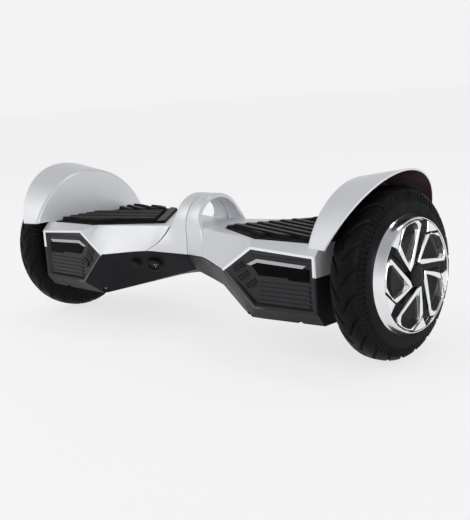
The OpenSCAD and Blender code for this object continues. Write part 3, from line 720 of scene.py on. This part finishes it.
def top_cover(side_name, side):
    """Shell through sections along the board, open under the handle and over the mat's opening."""
    crease_x = CREASE[0][0]
    stations = [SEAM_X, 12, 24, HOOP_SIDE_X, 33, LEG_START_X] + between(LEG_START_X, LEG_END_X, 10)
    stations += between(LEG_END_X, LAMP_TIP_X, 20) + between(LAMP_TIP_X, crease_x, 10)
    stations += between(crease_x, LAMP_TOP_X, 8) + between(LAMP_TOP_X, HALF_L, 16)
    points = []
    for x in stations:
        half = cover_section(x)
        loop = [(x, -y, z) for y, z in half[::-1]] + [(x, y, z) for y, z in half[1:]]
        points += loop
    n = len(loop)
    faces = quads(len(stations), n, closed=False, wrapped=False)
    last, base = len(points) - n, len(points)
    end_y = SHELL_ROWS[-1][2]
    points += [(HALF_L, end_y, END_FOOT_Z), (HALF_L, -end_y, END_FOOT_Z)]
    faces.append([last + i for i in range(n - 1, -1, -1)] + [base + 1, base])
    base = len(points)
    slot_y, slot_z = PIVOT_SLOT
    foot = ((HOOP_INNER, SEAM_FOOT_Z), (slot_y, SEAM_FOOT_Z), (slot_y, slot_z))
    points += [(SEAM_X, y, z) for y, z in foot] + [(SEAM_X, -y, z) for y, z in foot[::-1]]
    faces.append([i for i in range(n)] + [base + i for i in range(6)])
    bm = mesh_of(points, faces, side, weld=0.03)
    facing_up(bm)
    open_deck(bm, [(side * x * MM, y * MM) for x, y in inset(MAT_POINTS, -0.5)])
    obj = new_object(side_name + "_cover_skin", bm, ["silver_paint"])
    solid = obj.modifiers.new("thickness", "SOLIDIFY")
    solid.thickness = COVER_T * MM
    solid.offset = -1.0
    applied(obj)
    rounded(obj, 0.45, 34)
    settle(obj, side_name + "_half", "silver_paint", side_name + "_top_cover")


def applied(obj):
    """Replaces the object's mesh by the result of its modifiers."""
    bpy.context.view_layer.update()
    evaluated = obj.evaluated_get(bpy.context.evaluated_depsgraph_get())
    mesh = bpy.data.meshes.new_from_object(evaluated)
    old = obj.data
    obj.modifiers.clear()
    obj.data = mesh
    bpy.data.meshes.remove(old)


def rounded(obj, width, angle, shade_angle=28):
    """Rounds an object's edges with a modifier, for shells whose mesh is the result of a thickness."""
    edge = obj.modifiers.new("edge", "BEVEL")
    edge.width = width * MM
    edge.segments = 2
    edge.limit_method = "ANGLE"
    edge.angle_limit = math.radians(angle)
    edge.use_clamp_overlap = True
    shade(obj, shade_angle)


def leg_reach(t):
    """How far from the seam the handle's leg runs, at a share t of the way down to the parting line."""
    low, high = 28.0, LEG_END_X
    for halving in range(30):
        x = (low + high) / 2
        z = DECK_Z - t * (DECK_Z - side_edge(x)[1])
        if z > straight(LEG_EDGE, x):
            high = x
        else:
            low = x
    return low


def handle(side_name, side):
    """Half of the carry handle: stations run up the front leg, over the hoop and down the back leg."""
    start = math.asin((DECK_Z - HOOP_Z) / HOOP_R)
    shares = (0, 0.12, 0.25, 0.42, 0.5, 0.58, 0.75, 0.88, 1)
    stations = [("leg", 1 - k / 16) for k in range(17)]
    stations += [("hoop", a) for a in between(start, math.pi / 2, 40)]

    def station_loop(kind, value):
        if kind == "leg":
            width, thick = leg_reach(value), LEG_T + (HOOP_T - LEG_T) * max(0.0, 1 - value * 5)
        else:
            z = HOOP_Z + HOOP_R * math.sin(value)
            width = HOOP_W + (leg_reach(0) - HOOP_W) * share(z, FLARE_TOP_Z, DECK_Z) ** 2.2
            thick = HOOP_T

        def at(x, inward):
            if kind == "hoop":
                r = HOOP_R + 0.5 * math.sin(math.pi * min(1.0, (x - SEAM_X) / width)) - inward
                return (x, -r * math.cos(value), HOOP_Z + r * math.sin(value))
            z = DECK_Z - value * (DECK_Z - side_edge(x)[1])
            step = (HOOP_R * math.cos(start) - deck_edge(0)) * (1 - value) ** 3
            return (x, -(flank(x, z) + step * (1 - x / 60) - inward), z)

        span = width - 3.2 - SEAM_X - 0.5
        outer = [at(SEAM_X, 0.5)] + [at(SEAM_X + 0.5 + span * s, 0) for s in shares]
        outer += [at(width - 1.7, 0.3), at(width - 0.7, 0.9), at(width - 0.15, 1.9)]
        outer.append(at(width, min(3.2, thick - 0.6)))
        inner = [at(width - 0.4, thick - 0.3), at(width - 1.0, thick)]
        inner += [at(SEAM_X + 0.5 + (width - 1.7 - SEAM_X) * s, thick) for s in shares[::-2]]
        inner += [at(SEAM_X, thick - 0.4)]
        return outer + inner

    loops = [station_loop(kind, value) for kind, value in stations]
    loops += [[(x, -y, z) for x, y, z in loop] for loop in loops[-2::-1]]
    bm = mesh_of(*stack(loops), side)
    obj = new_object(side_name + "_handle_hoop", bm, ["silver_paint"])
    shade(obj, 40)
    settle(obj, side_name + "_half", "silver_paint", side_name + "_handle")


# ---------------------------------------------------------------- mudguards

GUARD_WALL_X = 262.0
GUARD_RING = (265.0, 115.0)
GUARD_RIM = (330.0, 125.0)
GUARD_WALL_R = 114.0
GUARD_HALF, GUARD_OVAL = 119.0, 0.9
GUARD_BEND = 3.0
GUARD_T = 2.4


def guard_radius(x):
    """Radius of the arch at a distance from the middle of the board."""
    return straight(((GUARD_WALL_X, GUARD_WALL_R), GUARD_RING, GUARD_RIM), x)


def guard_reach(y):
    """Distance from the middle of the board to the arch's outer edge, an oval in plan."""
    s = min(1.0, abs(y) / GUARD_HALF)
    return GUARD_WALL_X + (GUARD_RIM[0] - GUARD_WALL_X) * math.sqrt(1 - s * s) ** GUARD_OVAL


def fender(side_name, side):
    """A flat wall and a flared arch along rays from the axle, cut off level with the deck."""
    low_ray, rays, wall_steps, arch_steps = math.radians(18.6), 110, 10, 30
    cut_z = DECK_Z - 2
    wall_r, bend_x = GUARD_WALL_R - GUARD_BEND, GUARD_WALL_X + GUARD_BEND
    points = []
    for k in range(rays + 1):
        a = low_ray + (math.pi - 2 * low_ray) * k / rays
        x_stop = GUARD_RIM[0]
        for repeat in range(40):
            x_stop = 0.5 * x_stop + 0.5 * guard_reach(guard_radius(x_stop) * math.cos(a))
        r_in = min((cut_z - AXLE_Z) / math.sin(a), wall_r - 0.5)
        section = [(r_in + (wall_r - r_in) * i / wall_steps, GUARD_WALL_X) for i in range(wall_steps + 1)]
        section += [(wall_r + GUARD_BEND * math.sin(q), bend_x - GUARD_BEND * math.cos(q))
                    for q in (math.pi / 8, math.pi / 4, 3 * math.pi / 8)]
        section += [(guard_radius(x), x) for x in [bend_x] + between(bend_x, x_stop, arch_steps)]
        points += [(x, r * math.cos(a), AXLE_Z + r * math.sin(a)) for r, x in section]
    bm = mesh_of(points, quads(rays + 1, len(section), closed=False, wrapped=False), side, weld=0.02)
    geom = list(bm.verts) + list(bm.edges) + list(bm.faces)
    foot = (0, 0, (DECK_Z + 0.2) * MM)
    bmesh.ops.bisect_plane(bm, geom=geom, plane_co=foot, plane_no=(0, 0, 1), clear_inner=True)
    facing_up(bm)
    obj = new_object(side_name + "_fender_shell", bm, ["silver_paint", "guard_lining"])
    solid = obj.modifiers.new("thickness", "SOLIDIFY")
    solid.thickness = GUARD_T * MM
    solid.offset = -1.0
    solid.use_even_offset = True
    solid.material_offset = 1
    solid.material_offset_rim = 0
    applied(obj)
    rounded(obj, 0.5, 45, 40)
    settle(obj, side_name + "_half", "silver_paint", side_name + "_fender")


# ---------------------------------------------------------------- wheels

RIM_IN_X = 284.2
BEAD_R = 70.0
WEB_X, RING_X = 334.0, 341.0
TYRE_R, TYRE_W = 105.0, 45.0
TREAD_REPEATS, TREAD_DEPTH, TREAD_EDGE, SHOULDER = 22, 2.6, 31.0, 20.0
SIDE_RINGS = ((79.5, 0.45, 0.5, 0.6), (84.5, 0.4, 0.35, 0.5))
PETALS, FIRST_PETAL = 5, 105.0
INLAY_IN_R, INLAY_OUT_R, INLAY_T = 16.0, 65.8, 0.6


def groove(value, centre, half_width, soft):
    """1 inside a groove, 0 outside, with soft shoulders."""
    return max(0.0, min(1.0, (half_width + soft - abs(value - centre)) / soft))


def tread_depth(turn, across):
    """Depth of the tread pattern, 0 to 1, at a share of a turn and a distance from the tyre's middle line."""
    depth = 0.0
    away = abs(across)
    for lean in (1, -1):
        if lean * across < -2:
            continue
        phase = (turn * TREAD_REPEATS + (0.0 if lean > 0 else 0.5)) % 1.0
        reach = max(0.0, min(1.0, away / 21.0))
        for shift in (-1.0, 0.0, 1.0):
            centre = 0.08 + 0.95 * (1 - reach) ** 1.7 + shift
            if 2.5 < away < 23:
                depth = max(depth, groove(phase, centre, 0.045, 0.05))
            if away > SHOULDER:
                for n in range(4):
                    depth = max(depth, 0.8 * groove(phase, 0.12 + 0.25 * n + shift, 0.035, 0.05))
    return depth


def tyre(side_name, side):
    """Rounded tyre with its tread cut in and two fine rings on each side."""
    turns, cross = 560, 72
    crown, half_w, foot_r = TYRE_R, TYRE_W / 2, BEAD_R + 2.25
    outer = []
    for i in range(cross + 1):
        a = -math.pi / 2 + math.pi * i / cross
        c, s = abs(math.cos(a)) ** (2 / 3), math.copysign(abs(math.sin(a)) ** (2 / 3), a)
        outer.append((foot_r + (crown - foot_r) * c, half_w * s))
    length = [0.0]
    for (r0, x0), (r1, x1) in zip(outer, outer[1:]):
        length.append(length[-1] + math.hypot(r1 - r0, x1 - x0))
    middle = length[-1] / 2
    inner = [(BEAD_R + 0.05, half_w - 3.6), (BEAD_R + 0.05, 12), (BEAD_R + 12, 10), (BEAD_R + 20, 0),
             (BEAD_R + 12, -10), (BEAD_R + 0.05, -12), (BEAD_R + 0.05, -half_w + 3.6)]
    points = []
    for k in range(turns):
        a = math.tau * k / turns
        ca, sa = math.cos(a), math.sin(a)
        for (r, x), s in zip(outer, length):
            across = s - middle
            depth = TREAD_DEPTH * tread_depth(k / turns, across) if abs(across) < TREAD_EDGE else 0.0
            r_now = r - depth * min(1.0, (r - foot_r) / 12)
            if abs(across) > TREAD_EDGE - 1:
                r_now -= sum(high * groove(r, at, half, soft) for at, high, half, soft in SIDE_RINGS)
            x_now = x * (1 - 0.02 * depth * (abs(across) > SHOULDER))
            points.append((WHEEL_X + x_now, r_now * ca, AXLE_Z + r_now * sa))
        points += [(WHEEL_X + x, r * ca, AXLE_Z + r * sa) for r, x in inner]
    bm = mesh_of(points, quads(turns, len(outer) + len(inner)), side)
    obj = new_object(side_name + "_tyre_tread", bm, ["tyre_rubber"])
    shade(obj, 60, weighted=False)
    settle(obj, side_name + "_wheel", "tyre_rubber", side_name + "_tyre")


def rim(side_name, side):
    """Polished lip and barrel of the rim with the motor's shell behind."""
    profile = [
        (16.03, 314), (21, 314), (21, 327), (60.5, 327), (60.5, 290), (66, 290), (66, RIM_IN_X),
        (72, RIM_IN_X), (72, 286), (70, 287.8), (70, 325.2), (72.2, 326.6), (72.4, 328.2),
        (72.1, 329.2), (71.4, 330.2), (70.7, 332), (69.6, 335.6), (68.6, 339), (68.1, 340.4),
        (67.6, RING_X), (67.0, RING_X), (66.7, 340.4), (66.7, WEB_X), (17, WEB_X), (16.03, 332)]
    bm = mesh_of(*lathe(profile, 160), side)
    obj = new_object(side_name + "_rim_polished", bm, ["polished_rim"])
    shade(obj, 34, weighted=False)
    settle(obj, side_name + "_wheel", "polished_rim", side_name + "_rim")


def polar(r, a):
    return (r * math.cos(math.radians(a)), r * math.sin(math.radians(a)))


def arc(r, a0, a1, n):
    return [polar(r, a0 + (a1 - a0) * i / n) for i in range(n + 1)]


def turned_xy(points, degrees):
    c, s = math.cos(math.radians(degrees)), math.sin(math.radians(degrees))
    return [(x * c - y * s, x * s + y * c) for x, y in points]


def reach(polygon, centre, angle):
    """Distance from a point inside a polygon to its outline along one direction."""
    c, d, best = Vector(centre), Vector((math.cos(angle), math.sin(angle))), 0.0
    for i, a in enumerate(polygon):
        a, b = Vector(a), Vector(polygon[(i + 1) % len(polygon)])
        run = b - a
        cross = d.x * run.y - d.y * run.x
        if abs(cross) < 1e-9:
            continue
        t = ((a.x - c.x) * run.y - (a.y - c.y) * run.x) / cross
        u = ((a.x - c.x) * d.y - (a.y - c.y) * d.x) / cross
        if t > 0 and -1e-6 <= u <= 1 + 1e-6:
            best = max(best, t)
    return best


def plate_with_hole(outer, hole, levels):
    """Solid between an outline and a window: levels are (inset of the outline, growth of the window, x)."""
    centre = tuple(sum(p[i] for p in hole) / len(hole) for i in (0, 1))
    angles = [math.atan2(p[1] - centre[1], p[0] - centre[0]) for p in outer + hole]
    angles = sorted(set(round(a, 4) for a in angles + [math.tau * k / 60 - math.pi for k in range(60)]))

    def ring(polygon, x):
        out = []
        for a in angles:
            r = reach(polygon, centre, a)
            out.append((x, centre[0] + r * math.cos(a), AXLE_Z + centre[1] + r * math.sin(a)))
        return out

    loops = [ring(inset(outer, a), x) for a, b, x in levels]
    loops += [ring(inset(hole, -b), x) for a, b, x in levels[::-1]]
    return [p for loop in loops for p in loop], quads(len(loops), len(angles))


def petal_parts(degrees):
    """Outlines of one petal: the frame round its window, the window, and the blade from it to the rim."""
    frame_outline = [polar(15, 14), polar(60.5, -27)] + arc(65.2, -21, 9, 8) + [
        polar(51.5, 29.6), polar(50, 31.8), polar(37.4, 35.7), polar(15.5, 52)]
    window = [polar(19.5, 33), polar(54, -20.6), polar(60, -18.5)] + arc(63.2, -14, 4, 6) + [
        polar(55, 22.3), polar(53, 23.2), polar(34.4, 27.6)]
    blade = [polar(52.6, 30.6)] + arc(66.4, 10.6, 34.5, 8) + [polar(58.6, 32.2)]
    return [turned_xy(poly, degrees) for poly in (frame_outline, window, blade)]


def spoke_wheel(side_name, side):
    """Five chrome petals, each a frame round a window and a blade beside it."""
    top = RING_X + 0.2
    frame_levels = ((0.0, -1.4, WEB_X + 0.3), (0.1, -0.2, top - 2.2), (0.6, 0.1, top - 0.5), (1.2, 0.6, top))
    blade_levels = ((0.0, WEB_X + 0.3), (0.1, top - 1.6), (0.5, top - 0.4), (1.0, top))
    parts = []
    for i in range(PETALS):
        outline, window, blade = petal_parts(FIRST_PETAL + 360 / PETALS * i)
        parts.append(plate_with_hole(outline, window, frame_levels))
        parts.append(stack([[(x, y, AXLE_Z + z) for y, z in inset(blade, m)] for m, x in blade_levels]))
    bm = mesh_of(*join_parts(parts), side, weld=0.01)
    obj = new_object(side_name + "_petals", bm, ["chrome"])
    shade(obj, 30)
    settle(obj, side_name + "_wheel", "chrome", side_name + "_spoke_plate")


def inlay_lift(r, local):
    """Height of the black inlay: each window has a broad facet that rises outwards and a steep one."""
    if -21 < local < 38 and r < 64:
        return straight(((16, 1.0), (50, 3.6), (59, INLAY_T)), r)
    return INLAY_T


def wheel_inlay(side_name, side):
    """Black inlay under the petals."""
    steps, pitch = 240, 360 / PETALS

    def ring(r, lift=None):
        loop = []
        for k in range(steps):
            a = 360.0 * k / steps
            local = (a - FIRST_PETAL) % pitch
            local = local - pitch if local > 40 else local
            y, z = polar(r, a)
            height = 0.05 + inlay_lift(r, local) if lift is None else lift
            loop.append((WEB_X + height, y, AXLE_Z + z))
        return loop

    loops = [ring(INLAY_IN_R, 0.02)]
    loops += [ring(r) for r in (INLAY_IN_R, 20, 28, 36, 44, 50, 51.5, 55, 59, 63, INLAY_OUT_R)]
    loops.append(ring(INLAY_OUT_R, 0.02))
    bm = mesh_of([p for loop in loops for p in loop], quads(len(loops), steps), side)
    obj = new_object(side_name + "_wheel_inlay", bm, ["wheel_black"])
    shade(obj, 18, weighted=False)
    settle(obj, side_name + "_wheel", "cap_plastic")


def hub_cap(side_name, side):
    """Eight-sided cap with a low dome and a stepped edge."""
    profile = ((13.4, WEB_X + 0.1), (13.4, 340.2), (12.9, 341.0), (12.2, 341.1), (11.8, 341.7), (8, 342.3),
               (3, 342.5))
    steps = 48
    loops = []
    for r, x in profile:
        loop = []
        for k in range(steps):
            a = math.tau * k / steps
            flat = 1 / math.cos((a + math.pi / 8) % (math.pi / 4) - math.pi / 8)
            rr = r * (0.45 + 0.55 * min(1.0, flat * math.cos(math.pi / 8)))
            loop.append((x, rr * math.cos(a), AXLE_Z + rr * math.sin(a)))
        loops.append(loop)
    bm = mesh_of(*stack(loops), side)
    obj = new_object(side_name + "_hub_cap_domed", bm, ["cap_plastic"])
    shade(obj, 30)
    settle(obj, side_name + "_wheel", "cap_plastic", side_name + "_hub_cap")


# ---------------------------------------------------------------- lamps and socket

LAMP_CORNERS = ((119.6, 113.2), (167.7, 144.3), (263.2, 138.4), (263.2, 113.2))
LAMP_TURN = math.radians(2.4)
LAMP_TIP_Y = -100.0
LIP_W = 3.4
RECESS_TIP, RECESS_D = (129.0, 112.2), 4.0
RECESS_LOW_RUN, RECESS_HIGH_RUN = 23.9, 20.9
VENT_ALONG, VENT_ACROSS = Vector((0.849, 0.529)), Vector((0.529, -0.849))
VENT_SPOTS = ((146.5, 117.0), (153.0, 106.6), (164.2, 97.6))
VENT_HALF_L, VENT_HALF_W, VENT_PITCH, VENT_BAR = 7.5, 3.8, 3.0, 1.0
# Path of the lighter bar round the lower half of the lamp: a painted highlight.
LAMP_HIGHLIGHT_LINE = ((123.0, 112.0), (168.6, 68.2), (262.2, 69.0))


def lamp_point(x, z, depth):
    """A point of the front lamp's face, or depth millimetres under it."""
    face_y = LAMP_TIP_Y + (x - LAMP_TIP_X) * math.tan(LAMP_TURN)
    return (x - depth * math.sin(LAMP_TURN), face_y + depth * math.cos(LAMP_TURN), z)


def lamp_lips(side_name, side):
    """Chamfered edge of the silver cover round the top of each lamp, in a lighter copy of the silver paint as
    a painted highlight.
    """
    parts = []
    for flip in (1, -1):
        outer = [Vector(p) for p in LAMP_CORNERS]
        loops = []
        for i, p in enumerate(outer):
            back = (p - outer[i - 1]).normalized() if i else (outer[1] - p).normalized()
            ahead = (outer[i + 1] - p).normalized() if i < 3 else back
            mid = Vector((back.y, -back.x)) + Vector((ahead.y, -ahead.x))
            inner = p + mid * (LIP_W / max(0.4, 1 + back.dot(ahead)))
            section = [(p, -0.3), (p, 2.4), (inner, 2.4), (inner, -0.1), (p.lerp(inner, 0.15), -0.9)]
            loop = [lamp_point(q.x, q.y, d) for q, d in section]
            loops.append([(x, y * flip, z) for x, y, z in loop])
        parts.append(stack(loops))
    bm = mesh_of(*join_parts(parts), side)
    soften(bm, 0.25, 30)
    obj = new_object(side_name + "_lamp_lips", bm, ["lip_painted_highlight"])
    shade(obj)
    settle(obj, side_name + "_half", "silver_paint")


def recess_depth(p):
    """Depth of the facets that lead from the lamp's pointed end down to its floor."""
    x, z = p[0] - RECESS_TIP[0], p[1] - RECESS_TIP[1]
    low = (x + z) * math.sqrt(0.5) / RECESS_LOW_RUN
    high = (VENT_ACROSS.x * x + VENT_ACROSS.y * z) / RECESS_HIGH_RUN
    return RECESS_D * max(0.0, min(1.0, low, high))


def lamp_bar(a, b, width, low, high):
    """A bar on the lamp between two points of its face, from low to high over the surface."""
    a, b = Vector(a), Vector(b)
    side_step = (b - a).normalized() * width / 2
    side_step = Vector((-side_step.y, side_step.x))
    corners = (a - side_step, b - side_step, b + side_step, a + side_step)
    return stack([[lamp_point(p.x, p.y, recess_depth(p) - d) for p in corners] for d in (low, high)])


def lamp_details(side_name, side):
    """Groups of small slots beside the lens over floors in a darker look as painted shade, and a line round
    the lower half of the lamp in a lighter look as a painted highlight.
    """
    floors, bars = [], []
    sink = -0.6
    for spot in VENT_SPOTS:
        c = Vector(spot)
        floors.append(lamp_bar(c - VENT_ALONG * VENT_HALF_L, c + VENT_ALONG * VENT_HALF_L, 2 * VENT_HALF_W,
                               sink, 0.1))
        end = VENT_ALONG * (VENT_HALF_L + 0.4)
        for k in (-1, 0, 1):
            at = c + VENT_ACROSS * VENT_HALF_W * k
            bars.append(lamp_bar(at - end, at + end, VENT_BAR + 0.1, sink, 0.75))
        end = VENT_ACROSS * (VENT_HALF_W + 0.4)
        for k in range(6):
            at = c + VENT_ALONG * (VENT_PITCH * k - VENT_HALF_L)
            bars.append(lamp_bar(at - end, at + end, VENT_BAR, sink, 0.7))
    lines = [lamp_bar(a, b, 1.5, -0.8, 0.45) for a, b in zip(LAMP_HIGHLIGHT_LINE, LAMP_HIGHLIGHT_LINE[1:])]
    # Slot floors take the darker look as painted shade; the lines take the lighter look as a painted
    # highlight.
    for name, parts, look, round_off in (("_vent_floors", floors, "painted_shade_dark", 0.0),
                                         ("_vent_bars", bars, "lamp_plastic", 0.12),
                                         ("_lamp_highlight_lines", lines, "lamp_painted_highlight", 0.3)):
        both = parts + [([(x, -y, z) for x, y, z in points], [face[::-1] for face in faces])
                        for points, faces in parts]
        bm = mesh_of(*join_parts(both), side)
        if round_off:
            soften(bm, round_off, 30)
        obj = new_object(side_name + name, bm, [look])
        shade(obj)
        settle(obj, side_name + "_half", "lamp_plastic")


# Middle of the socket's face and the direction that it faces
PORT_AT, PORT_NORMAL = Vector((-55, -59.5, 93.5)), Vector((0.359476, -0.750283, -0.554844))
PORT_DEPTH, CUP_DEPTH = 15.8, 10.5
PIN_R = 1.25
PIN_SPOTS = ((1.0, 2.2), (1.0, -2.2), (4.0, 0.6))


def charge_port():
    """Oval dark socket: a soft rim, a deep cup with a body behind it, and three bright pins."""
    along = Vector((1, 0, 0))
    along = (along - PORT_NORMAL * along.dot(PORT_NORMAL)).normalized()
    across = PORT_NORMAL.cross(along)

    def ring(r_long, r_short, height, steps=64, centre=(0, 0)):
        out = []
        for k in range(steps):
            a = math.tau * k / steps
            p = PORT_AT + along * (centre[0] + r_long * math.cos(a))
            p += across * (centre[1] + r_short * math.sin(a))
            out.append(tuple(p + PORT_NORMAL * height))
        return out

    cup = [ring(11.4, 11.4, -1.8), ring(11.4, 11.4, -0.4), ring(11.0, 10.8, 0.1), ring(10.2, 8.4, 0.3),
           ring(9.4, 6.9, 0.0), ring(9.0, 6.3, -1.6), ring(7.0, 5.6, -4.2), ring(5.0, 4.6, -4.4),
           ring(4.8, 4.4, -CUP_DEPTH)]
    n = len(cup[0])
    bottom = [(len(cup) - 1) * n + i for i in range(n)]
    front = [p for loop in cup for p in loop], [bottom] + quads(len(cup), n, closed=False)
    back = stack([ring(11.3, 11.3, -1.9), ring(8.0, 8.0, -2.0), ring(7.9, 7.9, -PORT_DEPTH)])
    obj = new_object("charge_socket_cup", mesh_of(*join_parts([front, back])), ["cap_plastic"])
    shade(obj, 34, weighted=False)
    settle(obj, "left_half", "socket_metal", "charge_port")
    pins = []
    for spot in PIN_SPOTS:
        pins.append(stack([ring(r, r, height, 20, spot) for r, height in
                           ((PIN_R, -CUP_DEPTH - 0.1), (PIN_R, -1.6), (0.95, -1.0), (0.4, -0.8))]))
    obj = new_object("charge_socket_pins", mesh_of(*join_parts(pins)), ["socket_metal"])
    shade(obj, 40, weighted=False)
    settle(obj, "left_half", "socket_metal")


# ---------------------------------------------------------------- assembly

for side_name, side in SIDES:
    top_cover(side_name, side)
    refined(side_name + "_bottom_cover", 0.6, 18, shade_angle=24)
    handle(side_name, side)
    refined(side_name + "_lamp_frames", 0.5, 16, shade_angle=24)
    refined(side_name + "_lamp_lenses", 0.3, 20)
    refined(side_name + "_lamp_trims", 0.3, 20)
    lamp_lips(side_name, side)
    lamp_details(side_name, side)
    foot_mat(side_name, side)
    fender(side_name, side)
    tyre(side_name, side)
    rim(side_name, side)
    wheel_inlay(side_name, side)
    spoke_wheel(side_name, side)
    hub_cap(side_name, side)
charge_port()


# ---------------------------------------------------------------- studio

FLOOR_HALF, FLOOR_GAP = 12, 0.0004
BACKDROP = (0.896, 0.896, 0.896, 1)
CAMERA_AT = (0.9445, -0.9284, 0.3451)
CAMERA_RIGHT, CAMERA_UP = (0.72611, 0.68412, -0.06885), (-0.07912, 0.18261, 0.98000)
CAMERA_BACK = (0.68301, -0.70614, 0.18672)
SENSOR, LENS = 36, 65.9


def studio():
    """Pale floor, even world, three softboxes and the camera."""
    floor_bm = bmesh.new()
    bmesh.ops.create_grid(floor_bm, x_segments=8, y_segments=8, size=FLOOR_HALF)
    floor = new_object("floor", floor_bm, ["studio_floor"])
    floor.location.z = -FLOOR_GAP

    world = bpy.data.worlds.new("studio")
    world.use_nodes = True
    bpy.context.scene.world = world
    nodes, links = world.node_tree.nodes, world.node_tree.links
    background = nodes["Background"]
    path = nodes.new("ShaderNodeLightPath")
    coords = nodes.new("ShaderNodeTexCoord")
    split = nodes.new("ShaderNodeSeparateXYZ")
    ramp = nodes.new("ShaderNodeValToRGB")
    stops = ramp.color_ramp.elements
    stops[0].position, stops[0].color = 0.0, (0.92, 0.925, 0.94, 1)
    stops[1].position, stops[1].color = 0.75, (0.40, 0.405, 0.42, 1)
    mix = nodes.new("ShaderNodeMix")
    mix.data_type = "RGBA"
    links.new(coords.outputs["Generated"], split.inputs["Vector"])
    links.new(split.outputs["Z"], ramp.inputs["Fac"])
    links.new(path.outputs["Is Camera Ray"], mix.inputs[0])
    links.new(ramp.outputs["Color"], mix.inputs[6])
    mix.inputs[7].default_value = BACKDROP
    links.new(mix.outputs[2], background.inputs["Color"])
    background.inputs["Strength"].default_value = 1.0

    def softbox(name, place, target, size, power):
        light = bpy.data.lights.new(name, "AREA")
        light.shape = "RECTANGLE"
        light.size, light.size_y = size
        light.energy = power
        lamp = bpy.data.objects.new(name, light)
        lamp.location = place
        lamp.rotation_mode = "QUATERNION"
        lamp.rotation_quaternion = (Vector(target) - Vector(place)).to_track_quat("-Z", "Y")
        bpy.context.scene.collection.objects.link(lamp)

    softbox("key", (-1.15, -1.5, 1.75), (0, 0, 0.1), (1.5, 1.5), 12)
    softbox("fill", (2.4, -0.9, 0.6), (0.2, 0, 0.1), (1.2, 1.2), 16)
    softbox("top", (0.0, 0.6, 2.4), (0, 0, 0.1), (1.6, 0.5), 6)

    camera = bpy.data.objects.new("camera", bpy.data.cameras.new("camera"))
    turn = Matrix((CAMERA_RIGHT, CAMERA_UP, CAMERA_BACK)).transposed().to_4x4()
    camera.matrix_world = Matrix.Translation(CAMERA_AT) @ turn
    camera.data.sensor_width = SENSOR
    camera.data.lens = LENS
    camera.data.clip_start, camera.data.clip_end = 0.05, 60
    bpy.context.scene.collection.objects.link(camera)
    bpy.context.scene.camera = camera


studio()
bpy.context.scene.view_settings.view_transform = "Standard"
